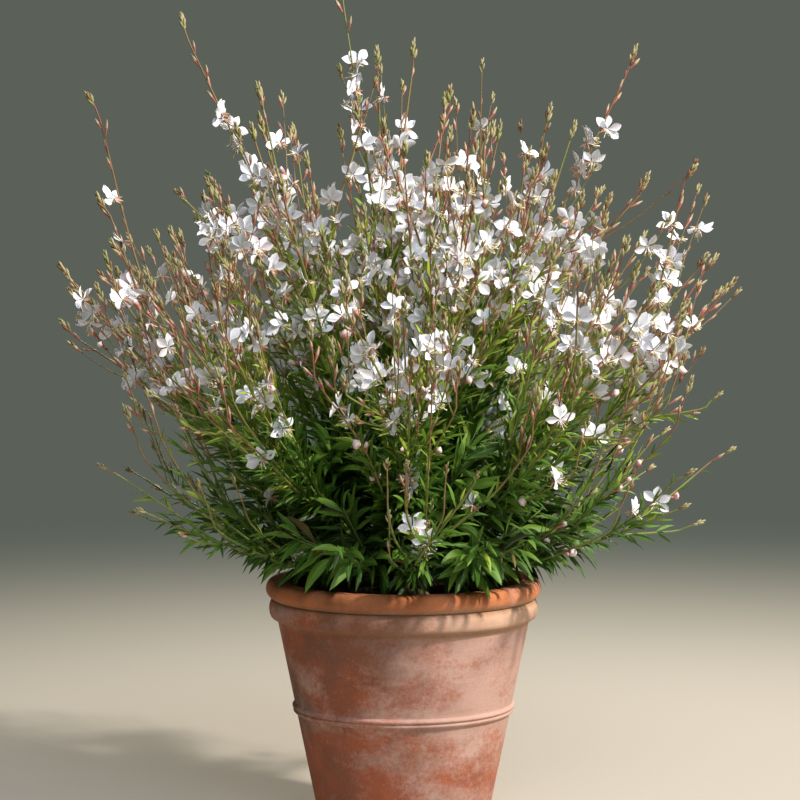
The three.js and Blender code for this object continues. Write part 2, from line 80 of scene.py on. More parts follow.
def colour(name, code, about):
    return FloatVectorProperty(
        name=name, description=about, default=linear(code), size=4, subtype="COLOR", min=0, max=1
    )


def length(name, metres, about):
    return FloatProperty(name=name, description=about, default=metres, min=0, unit="LENGTH")


def power(name, watts, about):
    return FloatProperty(name=name, description=about, default=watts, min=0, unit="POWER")


class PotSettings(PropertyGroup):
    sides: IntProperty(name="Sides", description="Facets round the pot", default=160, min=36)
    clay: colour("Fired clay", "#b05b36", "Colour of the bare terracotta")
    bloom: colour("Lime bloom", "#c4a092", "Colour of the pale salts on the clay")
    mix: colour("Potting mix", "#2c2119", "Colour of the damp potting mix")


class PlantSettings(PropertyGroup):
    finer_wands: IntProperty(
        name="Finer wands", description="Thin wands added to each main stem", default=14, min=0
    )
    finer_twigs: IntProperty(
        name="Finer twigs", description="Leafy twigs added to each low stem", default=6, min=0
    )
    base_leaf: length("Base leaf", 0.061, "Length of the largest leaves")
    top_leaf: length("Top leaf", 0.019, "Length of the smallest leaves, high on the stems")
    leaf_step: length("Leaf spacing", 0.0046, "Distance between leaves along a stem")


class BlossomSettings(PropertyGroup):
    petal: length("Petal", 0.0171, "Length of a petal from throat to tip")
    bud: length("Bud", 0.0125, "Length of a bud that is about to open")
    petal_colour: colour("Petals", "#f1f3f8", "Colour of the petals")
    bud_colour: colour("Buds", "#ad6c5e", "Colour of the buds")


class StageSettings(PropertyGroup):
    floor: colour("Floor", "#afa89d", "Colour of the floor near the pot")
    backdrop: colour("Backdrop", "#5b6159", "Colour that the floor fades to")
    key: power("Key light", 250.0, "Strength of the key light")
    fill: power("Fill light", 95.0, "Strength of the fill light")


# Vectors


def unit(vectors):
    return vectors / np.linalg.norm(vectors, axis=-1, keepdims=True)


def dot(a, b):
    return (a * b).sum(-1, keepdims=True)


def blend(a, b, share):
    return a + (b - a) * share


def turned(vector, axis, angle):
    """A vector turned about a unit axis."""
    return (
        vector * math.cos(angle)
        + np.cross(axis, vector) * math.sin(angle)
        + axis * (axis @ vector) * (1 - math.cos(angle))
    )


def random_stream(seed):
    """The growth rule's numbers from 0 to 1, the same on every run."""
    whole = 0xFFFFFFFF
    state = seed & whole

    def draw():
        nonlocal state
        state = (state + 0x6D2B79F5) & whole
        mixed = ((state ^ (state >> 15)) * (state | 1)) & whole
        mixed ^= (mixed + ((mixed ^ (mixed >> 7)) * (mixed | 61) & whole)) & whole
        return (mixed ^ (mixed >> 14)) / 2**32

    return draw


# The growth rule's sizes, in millimetres and degrees

HUB = np.array((0.0, 0.0, 262.0))  # the heart of the root crown
CROWN_RADIUS = 24.3
REACH, REACH_FALL, REACH_FALL_POWER = 590.0, 0.8, 2.6
BEND = 0.2
LEAFY_REACH, LEAFY_SHARE = 240.0, 0.6
GAP, CLEARANCE, OWN_SHARE = 0.3, 0.5, 0.5
STEM_RINGS = ((1, 3, 200), (5, 20, 4), (8, 45.6, 0), (6, 67, 34))  # count, lean, first turn
LEAFY_RINGS = ((3, 33, 64), (6, 63.7, 10))
LOW_LEAN = 58  # stems that lean further are leafy and hardly flower
TALL_WANDS = (  # lean (negative to the left), turn towards the back, reach
    (-6, -8, 662),
    (-22, 6, 668),
    (-33, -5, 632),
    (-46, 4, 514),
    (2, 60, 592),
    (10, -30, 618),
    (24, 8, 642),
    (34, -6, 560),
    (43, 9, 500),
    (50, -4, 503),
    (71, -6, 332),
    (-64, 5, 352),
)
STEM = Sizes(room=3.0, foot=2.7, top=1.9, rings=3, wobble=1.3)
TWIG = Sizes(
    stem_foot=2.0,
    foot=1.8,
    tip=1.1,
    top=0.9,
    count=5,
    spread=(12, 21),  # degrees from the mass's own stem
    start=(0.1, 0.4),  # of the way out, where it leaves that stem
    end=(0.72, 0.92),  # of the mass's reach
    stem_end=0.86,
    bare_foot=30,
    leaves=11,
)
WAND = Sizes(
    count=3,  # besides the stem's own tip
    foot=1.9,
    leader_foot=2.1,
    drawn=0.85,  # of its foot's radius
    tip=1.1,
    top=0.75,
    spread=(8, 12),  # degrees from the stem's own tip
    start=(0.07, 0.32),  # of the way out, where it leaves the stem
    reach=(0.84, 1),  # of the crown's reach there
    leader_reach=(0.92, 1),
    wobble=1.6,
    most_lean=73,
    tries=3,
)
FINER_WAND = Sizes(
    room=1.5,
    foot=1.6,
    top=0.7,
    spread=(3, 17),
    low_spread=(3, 27),
    low_share=0.7,  # of the finer wands, on low stems
    start=45,  # from the hub
    reach=(0.56, 0.9),
    shortest=120,
    most_lean=74,
    strays=9,  # how far out of its stem's cell
    lift=66.0,  # how far up the tips of wands that lean out turn
    lift_from=22,
    lift_over=34,  # degrees of lean from no lift to all of it
    tries=6,
)
BRANCH = Sizes(
    most=3.4,
    start=(0.3, 0.8),  # of the way along its wand
    lowest=450,
    length=(55, 135),
    low_share=0.7,
    sideways=0.42,
    rise=0.12,
    foot=0.85,
    top=0.4,
    reach=1.02,
)
TIP = Sizes(length=27.0, widest=0.55, swell=3.6, point=0.6)  # tight buds at a wand's end
FLOWER = Sizes(
    room=17.5, tube=11, rise=0.8, lift=0.3, below_tip=98, spacing=46, pair_from=240, bare_foot=20
)
# A blade's sideways is how far it leans out for each step along its stem.
BUD = Sizes(length=17, width=4.4, sideways=0.45, below_tip=42)
STEM_LEAF = Sizes(length=36, width=7, sideways=0.8)
BASE_LEAF = Sizes(length=70, width=13, sideways=0.85, sag=0.35, shown=0.8)
BLADE_ROOM = 0.36  # of a blade's width, kept free round its midrib
TWIG_LEAF = Sizes(spacing=5.2, bare_heart=48, length=(60, 38), sideways=(1.0, 0.55))
FOLIAGE = Sizes(  # of stems and wands; pairs are for leafy and for flowering ones
    bare_heart=50,
    spacing=(1.3, 0.93),  # of the leaf spacing that is set
    end=(0.95, 0.74),  # of the limb's reach, of the crown's reach
    thinning=(2.3, 5),
    sag=0.25,
)
WAND_BLOSSOM = Sizes(first_bud=25, buds=(3, 7), most_on_tall=4)
BRANCH_BLOSSOM = Sizes(first_bud=15, buds=(1, 4), most_on_tall=1)
BUD_GAP, FLOWER_GAP, SPENT_GAP = (10, 22), (6, 30), (7, 20)
BUD_LENGTH, POD_LENGTH, SPENT_LENGTH = (15.5, 20.5), 7.5, 15.0
FULL_BUD, SEED_POD, SPENT_FLOWER = range(3)
# Heights and chances: flowers rarely open among the leaves, and low stems are mostly leafy.
BLOOM_AT = ((420, 475, 535, 585), (0.08, 0.28, 0.7, 1))
BUD_AT = ((380, 520), (0.12, 1))
SEED = {"stem": 100, "spread": 900, "wand": 2000, "twig": 5000, "finer": 7000}
STREAMS = 20  # numbered streams for each stem or mass
LEAFY_NODE, FLOWER_NODE = 100, 200  # numbers of the masses among the nodes
STATIONS = 22  # points along a limb's fine path
UPRIGHT = 0.05  # a way this near to upright has no level side of its own
TALL, FRESH = 780.0, 620.0  # higher tips stand clear of the rest, and have fewer spent flowers

# How low things may hang: over the soil, over the rim out to its edge, and beyond it
MOUTH_EDGE = 125.0
LIMB_FLOORS = Sizes(edge=154.0, soil=252.0, rim=272.0, beyond=245.0)
LEAF_FLOORS = Sizes(edge=155.0, soil=251.0, rim=272.0, beyond=246.0)


def direction(lean, turn):
    return np.array(
        (math.sin(lean) * math.cos(turn), math.sin(lean) * math.sin(turn), math.cos(lean))
    )


def reach_at(lean):
    return REACH * (1 - REACH_FALL * (lean / (math.pi / 2)) ** REACH_FALL_POWER)


def lean_of(heading):
    return math.acos(min(max(heading[2], -1), 1))


def place_on(heading, distance):
    """The point at a distance from the hub on the stem whose tip has this heading."""
    bent = lean_of(heading) * (1 + BEND * (1 - distance / REACH))
    return direction(bent, math.atan2(heading[1], heading[0])) * distance + HUB


def heading_of(point):
    """The heading of the stem that would pass through a point."""
    arm = point - HUB
    distance = np.linalg.norm(arm)
    lean = math.acos(arm[2] / distance) / (1 + BEND * (1 - distance / REACH))
    return direction(lean, math.atan2(arm[1], arm[0]))


def ring_headings(rings):
    return np.array(
        [
            direction(lean * RAD, (turn + 360 / count * i) * RAD)
            for count, lean, turn in rings
            for i in range(count)
        ]
    )


STEM_HEADINGS = ring_headings(STEM_RINGS)
LEAFY_HEADINGS = ring_headings(LEAFY_RINGS)


def room_in_cell(point, headings, own):
    """How much nearer a point's heading is to its own mass than to any other."""
    angles = np.arccos(np.clip(headings @ heading_of(point), -1, 1))
    other = np.delete(angles, own).min()
    return (other - angles[own]) / 2 * np.linalg.norm(point - HUB)


def floor_at(out, floors):
    """The height that nothing hangs below at distances from the pot's axis."""
    beyond_mouth = np.where(out < floors.edge, floors.rim, floors.beyond)
    return np.where(out < MOUTH_EDGE, floors.soil, beyond_mouth)


def clear_of_pot(point):
    return point[2] > floor_at(math.hypot(point[0], point[1]), LIMB_FLOORS)


def leafy_end(heading):
    """How far the leafy masses reach on a heading, which is where the main stems end."""
    return min(LEAFY_REACH, LEAFY_SHARE * reach_at(lean_of(heading)))


def away_from(along, angle):
    """A direction that leaves a stem sideways, turned about it by an angle."""
    side = np.cross(along, UP)
    if np.linalg.norm(side) < UPRIGHT:
        side = np.array((1.0, 0.0, 0.0))
    return turned(unit(side), along, angle)


def grow_path(start_heading, end_heading, start, end, rings, wobble, random):
    """Points on a way that turns from one heading to another."""
    phase = random() * 2 * math.pi
    points = []
    for i in range(rings + 1):
        share = i / rings
        heading = unit(blend(start_heading, end_heading, share**0.8))
        sway = math.sin(phase + share * 4.5) * wobble * RAD * math.sin(math.pi * share)
        points.append(place_on(turned(heading, UP, sway), blend(start, end, share)))
    return np.array(points)


def point_at(path, distance):
    """The point of a path at a distance from the hub, and the way it runs there."""
    distances = np.linalg.norm(path - HUB, axis=1)
    beyond = np.flatnonzero(distances > distance)
    i = len(path) - 1 if not len(beyond) or beyond[0] < 1 else beyond[0]
    share = (distance - distances[i - 1]) / (distances[i] - distances[i - 1])
    return blend(path[i - 1], path[i], share), unit(path[i] - path[i - 1])


@dataclass
class Limb:
    """A stem, twig, wand or side branch: its path, its radius from foot to top, the heading
    of its tip and how far from the hub that is."""

    index: int
    kind: str
    path: np.ndarray
    foot: float
    top: float
    to: np.ndarray
    reach: float
    part: int = 0  # its number among the grown parts
    ear: float = 0.0  # how likely it is to end in a full ear of buds

    def __post_init__(self):
        self.fine = smoothed(self.path, STATIONS)
        self.length = np.linalg.norm(np.diff(self.fine, axis=0), axis=1).sum()

    @property
    def is_low(self):
        return lean_of(self.to) > LOW_LEAN * RAD

    def at(self, share):
        return self.fine[int(share * (STATIONS - 1))]

    def chance(self, share, heights_and_chances):
        return float(np.interp(self.at(share)[2], *heights_and_chances))

    def share_at(self, distance):
        """How far along the fine path a distance from the hub is, from 0 to 1."""
        distances = np.linalg.norm(self.fine - HUB, axis=1)
        return float(np.interp(distance, distances, np.linspace(0, 1, STATIONS)))


def smoothed(points, count):
    """A smooth curve through the points, as points that are evenly apart along it."""
    first, last = 2 * points[0] - points[1], 2 * points[-1] - points[-2]
    padded = np.vstack([first, points, last])
    steps = np.linspace(0, len(points) - 1, 12 * len(points))
    i = np.minimum(steps.astype(int), len(points) - 2)
    u = (steps - i)[:, None]
    a, b, c, d = (padded[i + k] for k in range(4))
    curve = 0.5 * (
        2 * b
        + (c - a) * u
        + (2 * a - 5 * b + 4 * c - d) * u**2
        + (3 * b - a - 3 * c + d) * u**3
    )
    paces = np.linalg.norm(np.diff(curve, axis=0), axis=1)
    travelled = np.concatenate([[0], np.cumsum(paces)])
    stops = np.linspace(0, travelled[-1], count)
    return np.stack([np.interp(stops, travelled, axis) for axis in curve.T], axis=1)


class Grown:
    """Everything grown so far, as capsules, and the test that a new part is clear of it."""

    def __init__(self):
        self.ends = np.empty((2, 0, 3))
        self.radius = np.empty(0)
        self.node = np.empty(0, int)
        self.part = np.empty(0, int)
        self.parts = 0

    def keep(self, node, capsules):
        self.parts += 1
        ends = np.array([(a, b) for a, b, _ in capsules]).transpose(1, 0, 2)
        self.ends = np.concatenate([self.ends, ends], axis=1)
        self.radius = np.append(self.radius, [r for _, _, r in capsules])
        self.node = np.append(self.node, [node] * len(capsules))
        self.part = np.append(self.part, [self.parts] * len(capsules))
        return self.parts

    def distances(self, start, end):
        d1, d2, r = end - start, self.ends[1] - self.ends[0], start - self.ends[0]
        a, e = max(d1 @ d1, 1e-9), np.maximum((d2 * d2).sum(1), 1e-9)
        b, c, f = d2 @ d1, r @ d1, (d2 * r).sum(1)
        slant = a * e - b * b
        s = np.where(slant > 1e-9, (b * f - c * e) / np.maximum(slant, 1e-9), 0).clip(0, 1)
        t = (b * s + f) / e
        beyond = (t < 0) | (t > 1)
        t = t.clip(0, 1)
        s = np.where(beyond, ((b * t - c) / a).clip(0, 1), s)
        return np.linalg.norm(r + s[:, None] * d1 - t[:, None] * d2, axis=1)

    def is_clear(self, node, capsules, parent):
        for start, end, radius in capsules:
            if not (clear_of_pot(end) and clear_of_pot((start + end) / 2)):
                return False
            radii = radius + self.radius
            room = np.where(self.node == node, radii * OWN_SHARE, radii + CLEARANCE)
            if ((self.distances(start, end) <= room) & (self.part != parent)).any():
                return False
        return True


def capsules_of(path, radii):
    return [(path[i], path[i + 1], max(radii[i], radii[i + 1])) for i in range(len(path) - 1)]


def blade_capsule(point, along, angle, size, blade, sag=0.0):
    """The room that a leaf or bud takes, round its midrib."""
    out = along + away_from(along, angle) * blade.sideways
    out[2] -= sag
    return [(point, point + unit(out) * size, blade.width * BLADE_ROOM)]


class Plant:
    """The whole plant by the growth rule: limbs, and what each bears."""

    def __init__(self, finer_wands, finer_twigs):
        self.grown = Grown()
        self.limbs, self.stems = [], []
        self.leaves = []  # limb, share along it, length, angle round it, roll, sideways, sag
        self.flowers = []  # limb, share, angle, turn of its look
        self.buds = []  # limb, share, length, angle, sideways, form
        for own, heading in enumerate(STEM_HEADINGS):
            self.grow_stem(own, heading)
        for own, heading in enumerate(LEAFY_HEADINGS):
            self.grow_leafy_mass(own, heading, finer_twigs)
        for own, heading in enumerate(STEM_HEADINGS):
            self.grow_flower_mass(own, heading)
        for own, heading in enumerate(STEM_HEADINGS):
            self.grow_finer_wands(own, heading, finer_wands)
        self.grow_side_branches()
        self.dress()

    def add_limb(self, *facts):
        limb = Limb(len(self.limbs), *facts)
        self.limbs.append(limb)
        return limb

    def fits(self, node, headings, own, stay, capsules, parent):
        """Keeps a part that stays in its own space, clear of everything but its parent."""
        for start, end, radius in capsules if parent else ():
            for point in (start, end):
                room = room_in_cell(point, headings, own)
                if room <= radius + CLEARANCE or not stay(point):
                    return 0
        if parent and not self.grown.is_clear(node, capsules, parent):
            return 0
        return self.grown.keep(node, capsules)

    def grow_stem(self, own, heading):
        random = random_stream(SEED["stem"] + own)
        end = leafy_end(heading)
        path = grow_path(heading, heading, CROWN_RADIUS, end, STEM.rings, STEM.wobble, random)
        part = self.grown.keep(own, capsules_of(path, [STEM.room] * len(path)))
        self.stems.append(self.add_limb("stem", path, STEM.foot, STEM.top, heading, end, part))

    def grow_leafy_mass(self, own, heading, finer_twigs):
        node, limit = LEAFY_NODE + own, leafy_end(heading)

        def stay(point):
            out = np.linalg.norm(point - HUB)
            return CROWN_RADIUS - 1 < out < leafy_end(heading_of(point)) - 1

        fits = functools.partial(self.fits, node, LEAFY_HEADINGS, own, stay)
        twigs = []
        for i in range(1 + TWIG.count + finer_twigs):
            random = random_stream(SEED["twig"] + own * STREAMS + i)
            to, start, end, rings = heading, CROWN_RADIUS, limit * TWIG.stem_end, 3
            if twigs:
                axis = away_from(heading, (i + 0.4 * random()) / TWIG.count * 2 * math.pi)
                to = turned(heading, axis, blend(*TWIG.spread, random()) * RAD)
                start = blend(CROWN_RADIUS, limit, blend(*TWIG.start, random()))
                end, rings = limit * blend(*TWIG.end, random()), 2
            path = grow_path(heading, to, start, end, rings, 0, random)
            radii = np.linspace(TWIG.foot if twigs else TWIG.stem_foot, TWIG.tip, len(path))
            part = fits(capsules_of(path, radii), twigs[0][1] if twigs else 0)
            if part:
                limb = self.add_limb("twig", path, radii[0], TWIG.top, to, end)
                bare = 0 if twigs else TWIG.bare_foot
                twigs.append((limb, part, start + bare, end, random))
        sag = BASE_LEAF.sag * math.sin(lean_of(heading))
        for limb, part, start, end, random in twigs:
            for k in range(TWIG.leaves):
                share = 0.1 + 0.88 * (k + random()) / TWIG.leaves
                size = BASE_LEAF.length * blend(1.1, 0.75, share) * (0.85 + 0.3 * random())
                angle = (k * GOLDEN + 50 * random()) * RAD
                place = blend(start, end, share)
                roll = random() - 0.5
                blade = blade_capsule(*point_at(limb.path, place), angle, size, BASE_LEAF, sag)
                if fits(blade, part):
                    form = (size * BASE_LEAF.shown, angle, roll, BASE_LEAF.sideways, sag)
                    self.leaves.append((limb.index, limb.share_at(place), *form))

    def grow_wand(self, from_heading, to, start, reach, rings, radius, random):
        path = grow_path(from_heading, to, start, reach - TIP.length, rings, WAND.wobble, random)
        radii = list(np.linspace(radius, WAND.tip, len(path))) + [TIP.swell, TIP.point]
        ends = [place_on(to, reach - TIP.length * TIP.widest), place_on(to, reach)]
        return np.vstack([path, ends]), radii

    def wand_headings(self, own, heading, random):
        wands = [(heading, reach_at(lean_of(heading)) * blend(*WAND.leader_reach, random()))]
        for lean, turn, reach in TALL_WANDS:
            to = direction(abs(lean) * RAD, (180 - turn if lean < 0 else turn) * RAD)
            if np.argmax(STEM_HEADINGS @ to) == own:
                wands.append((to, reach))
        for i in range(WAND.count):
            axis = away_from(heading, (i / WAND.count + random() * 0.25) * 2 * math.pi)
            to = turned(heading, axis, blend(*WAND.spread, random()) * RAD)
            reach = reach_at(lean_of(to)) * blend(*WAND.reach, random())
            if lean_of(to) < WAND.most_lean * RAD:
                wands.append((to, reach))
        return wands

    def grow_flower_mass(self, own, heading):
        node, foot = FLOWER_NODE + own, leafy_end(heading) + GAP

        def stay(point):
            return np.linalg.norm(point - HUB) > foot - 1

        fits = functools.partial(self.fits, node, STEM_HEADINGS, own, stay)
        wands = []
        headings = self.wand_headings(own, heading, random_stream(SEED["spread"] + own))
        for i, (to, reach) in enumerate(headings):
            random = random_stream(SEED["wand"] + own * STREAMS + i)
            for _ in range(WAND.tries):
                start, from_heading = foot, heading
                if wands:
                    start = blend(foot, reach, blend(*WAND.start, random()))
                    from_heading = heading_of(point_at(wands[0][0].path, start)[0])
                rings, radius = (2, WAND.foot) if wands else (3, WAND.leader_foot)
                path, radii = self.grow_wand(
                    from_heading, to, start, reach, rings, radius, random
                )
                part = fits(capsules_of(path, radii), wands[0][1] if wands else 0)
                if part:
                    foot_radius = radius * WAND.drawn
                    limb = self.add_limb("wand", path, foot_radius, WAND.top, to, reach)
                    wands.append((limb, part, start, random))
                    break
        for i, (limb, part, start, random) in enumerate(wands):
            self.dress_source_wand(fits, limb, part, start, i == 0, random)

    def dress_source_wand(self, fits, limb, part, start, is_leader, random):
        """The flowers and leaves that the solids have too."""
        reach = limb.reach
        if limb.is_low:
            flowers = round(0.8 * random())
        else:
            flowers = 2 if reach - start > FLOWER.pair_from else 1
        for k in range(flowers):
            place = reach - FLOWER.below_tip - FLOWER.spacing * (k + 0.5 * random())
            angle = random() * 2 * math.pi
            if place <= start + FLOWER.bare_foot:
                continue
            point, along = point_at(limb.path, place)
            out = unit(away_from(along, angle) + along * FLOWER.rise + UP * FLOWER.lift)
            throat = point + out * FLOWER.tube
            if fits([(throat, throat, FLOWER.room)], part):
                self.flowers.append((limb.index, limb.share_at(place), angle, 0.0))
        point, along = point_at(limb.path, reach - BUD.below_tip)
        angle = random() * 2 * math.pi
        if is_leader:
            fits(blade_capsule(point, along, angle, BUD.length, BUD), part)
        leaves = (5 if is_leader else 1) + (2 if limb.is_low else 0)
        for k in range(leaves):
            place = blend(start, reach, 0.04 + 0.5 * (k + random()) / leaves)
            size = STEM_LEAF.length * (0.8 + 0.5 * random())
            angle = (k * GOLDEN + 40 * random()) * RAD
            roll = random() - 0.5
            point, along = point_at(limb.path, place)
            if fits(blade_capsule(point, along, angle, size, STEM_LEAF), part):
                shown = size * blend(1, 0.55, min(place / 560, 1))
                form = (shown, angle, roll, STEM_LEAF.sideways, 0.0)
                self.leaves.append((limb.index, limb.share_at(place), *form))

    def grow_finer_wands(self, own, heading, count):
        """More and thinner wands of the same rule, which leave the main stem lower down."""
        stem, finer = self.stems[own], FINER_WAND
        spread = finer.spread
        if stem.is_low:
            count, spread = round(finer.low_share * count), finer.low_spread
        for i in range(count):
            random = random_stream(SEED["finer"] + own * STREAMS + i)
            for _ in range(finer.tries):
                axis = away_from(heading, (i + random()) / count * 2 * math.pi)
                to = turned(heading, axis, blend(*spread, random()) * RAD)
                reach = reach_at(lean_of(to)) * blend(*finer.reach, random())
                start = blend(finer.start, stem.reach, random())
                from_heading = heading_of(point_at(stem.path, start)[0])
                if lean_of(to) > finer.most_lean * RAD or reach < start + finer.shortest:
                    continue
                path, radii = self.grow_wand(
                    from_heading, to, start, reach, 3, finer.room, random
                )
                inside = all(
                    room_in_cell(point, STEM_HEADINGS, own) > -finer.strays for point in path[1:]
                )
                leaning = max(lean_of(to) / RAD - finer.lift_from, 0) / finer.lift_over
                rise = np.linspace(0, 1, len(path))[:, None] ** 2
                path = path + UP * (finer.lift * min(leaning, 1)) * rise
                capsules = capsules_of(path, radii)
                if inside and self.grown.is_clear(FLOWER_NODE + own, capsules[1:], stem.part):
                    self.grown.keep(FLOWER_NODE + own, capsules)
                    self.add_limb("wand", path, finer.foot, finer.top, to, reach)
                    break

    def grow_side_branches(self):
        """Short flowering branches, which leave the wands at a narrow angle."""
        random = random_stream(SEED["finer"] - 1)
        for limb in [limb for limb in self.limbs if limb.kind == "wand"]:
            for _ in range(int(random() * BRANCH.most)):
                share = blend(*BRANCH.start, random())
                i = int(share * (STATIONS - 1))
                base = limb.fine[i]
                if base[2] < BRANCH.lowest:
                    continue
                along = unit(limb.fine[i + 1] - base)
                away = away_from(along, random() * 2 * math.pi)
                size = blend(*BRANCH.length, random()) * (BRANCH.low_share if limb.is_low else 1)
                steps = np.linspace(0, 1, 5)[:, None]
                out = steps * along + BRANCH.sideways * away * steps**0.75
                path = base + (out + BRANCH.rise * UP * steps**2) * size
                tip = path[-1]
                far = np.linalg.norm(tip - HUB)
                limit = reach_at(lean_of(heading_of(tip))) * BRANCH.reach
                if far <= limit and clear_of_pot(tip):
                    self.add_limb("branch", path, BRANCH.foot, BRANCH.top, limb.to, far)

    def dress(self):
        """The rest of the leaves and flowers, and the places of the buds."""
        random = np.random.default_rng(SEED["finer"])
        for limb in self.limbs:
            if limb.kind == "twig":
                self.dress_twig(limb, random)
            if limb.kind in ("stem", "wand"):
                self.dress_with_leaves(limb, random)
            if limb.kind in ("wand", "branch"):
                self.dress_with_blossom(limb, random)

    def dress_twig(self, limb, random):
        count = int(limb.length / TWIG_LEAF.spacing)
        sag = BASE_LEAF.sag * math.sin(lean_of(limb.to))
        for k in range(count):
            share = min(0.06 + 0.94 * (k + random.random()) / count, 1)
            if np.linalg.norm(limb.at(share) - HUB) < TWIG_LEAF.bare_heart:
                continue
            long = blend(*TWIG_LEAF.length, share) * random.uniform(0.7, 1.15)
            angle = (k * GOLDEN + random.uniform(-25, 25)) * RAD
            roll = random.uniform(-0.6, 0.6)
            sideways = blend(*TWIG_LEAF.sideways, share) * random.uniform(0.8, 1.25)
            self.leaves.append((limb.index, share, long, angle, roll, sideways, sag))

    def dress_with_leaves(self, limb, random):
        """Leaves that are shorter, closer to the stem and rarer with the height."""
        settings = bpy.context.scene.gaura_plant
        flowering = limb.chance(0.99, BUD_AT)
        step = settings.leaf_step / MM * blend(*FOLIAGE.spacing, flowering)
        distances = np.linalg.norm(limb.fine - HUB, axis=1)
        last = FOLIAGE.end[0] * limb.reach
        if flowering == 1:
            last = FOLIAGE.end[1] * reach_at(lean_of(limb.to))
        for k in range(int(limb.length / step)):
            share = (k + random.random()) * step / limb.length
            far = np.interp(share, np.linspace(0, 1, STATIONS), distances)
            height = far / last
            if far < FOLIAGE.bare_heart or height > 1:
                continue
            if random.random() < height ** blend(*FOLIAGE.thinning, flowering):
                continue
            long = blend(settings.base_leaf, settings.top_leaf, height**0.62) / MM
            long *= random.uniform(0.78, 1.22)
            angle = (k * GOLDEN + random.uniform(-20, 20)) * RAD
            roll = random.uniform(-0.6, 0.6)
            sideways = blend(0.85, 0.35, height**0.7) * random.uniform(0.75, 1.3)
            sag = FOLIAGE.sag * math.sin(lean_of(limb.to)) * (1 - 0.7 * height)
            self.leaves.append((limb.index, share, long, angle, roll, sideways, sag))

    def dress_with_blossom(self, limb, random):
        """From the tip down: buds, then open flowers, then spent flowers and seed pods."""
        branch = limb.kind == "branch"
        bears = BRANCH_BLOSSOM if branch else WAND_BLOSSOM
        limb.ear = limb.chance(0.99, BUD_AT) ** 2
        buds = random.integers(*bears.buds)
        place = bears.first_bud + random.uniform(1, 7)
        turn = random.uniform(0, 360)
        for k in range(buds):
            share = 1 - place / limb.length
            if share < 0.15:
                return
            long = blend(*BUD_LENGTH, min(k / 3, 1)) * random.uniform(0.85, 1.15)
            angle = (turn + k * GOLDEN + random.uniform(-20, 20)) * RAD
            if random.random() < 0.7 * limb.chance(share, BUD_AT):
                sideways = random.uniform(0.2, 0.6)
                self.buds.append((limb.index, share, long, angle, sideways, FULL_BUD))
            place += random.uniform(*BUD_GAP)
        chance = 0.75 if limb.is_low else 0.92
        flowers = 0 if random.random() > chance else random.integers(3, 8)
        if branch:
            flowers = min(flowers, random.integers(1, 4))
        if limb.fine[-1, 2] > TALL:
            flowers = min(flowers, bears.most_on_tall)
        for k in range(flowers):
            share = 1 - (place + random.uniform(0, 12)) / limb.length
            if share > 0.12 and random.random() < limb.chance(share, BLOOM_AT):
                angle = (turn + 190 * k + random.uniform(-40, 40)) * RAD
                look = random.normal(0, 38) * RAD
                self.flowers.append((limb.index, share, angle, look))
            place += random.uniform(*FLOWER_GAP)
        for k in range(random.integers(1, 5)):
            place += random.uniform(*SPENT_GAP)
            share = 1 - place / limb.length
            if share < 0.3:
                return
            angle = (turn + k * GOLDEN) * RAD
            spent = random.random() < (0.12 if limb.fine[-1, 2] > FRESH else 0.5)
            if spent or random.random() < limb.chance(share, BUD_AT):
                long, form = (SPENT_LENGTH, SPENT_FLOWER) if spent else (POD_LENGTH, SEED_POD)
                sideways = random.uniform(0.3, 0.6)
                self.buds.append((limb.index, share, long, angle, sideways, form))


@functools.cache
def plant():
    settings = bpy.context.scene.gaura_plant
    return Plant(settings.finer_wands, settings.finer_twigs)


# Meshes from arrays


def with_ends(centre, inner):
    """The points of shapes, each shape's inner ones between the ends of its middle line."""
    inner = inner.reshape(len(centre), -1, 3)
    return np.concatenate([centre[:, :1], inner, centre[:, -1:]], axis=1)


def ring_faces(grid, foot, top):
    """The faces between rings of numbered points, closed by a point at the foot and top."""
    after = np.roll(grid, -1, axis=1)
    ends = [(foot, a, b) for a, b in zip(grid[0], after[0])]
    ends += [(top, b, a) for a, b in zip(grid[-1], after[-1])]
    quads = np.stack([grid[:-1], grid[1:], after[1:], after[:-1]], axis=-1).reshape(-1, 4)
    return [np.array(ends), quads]


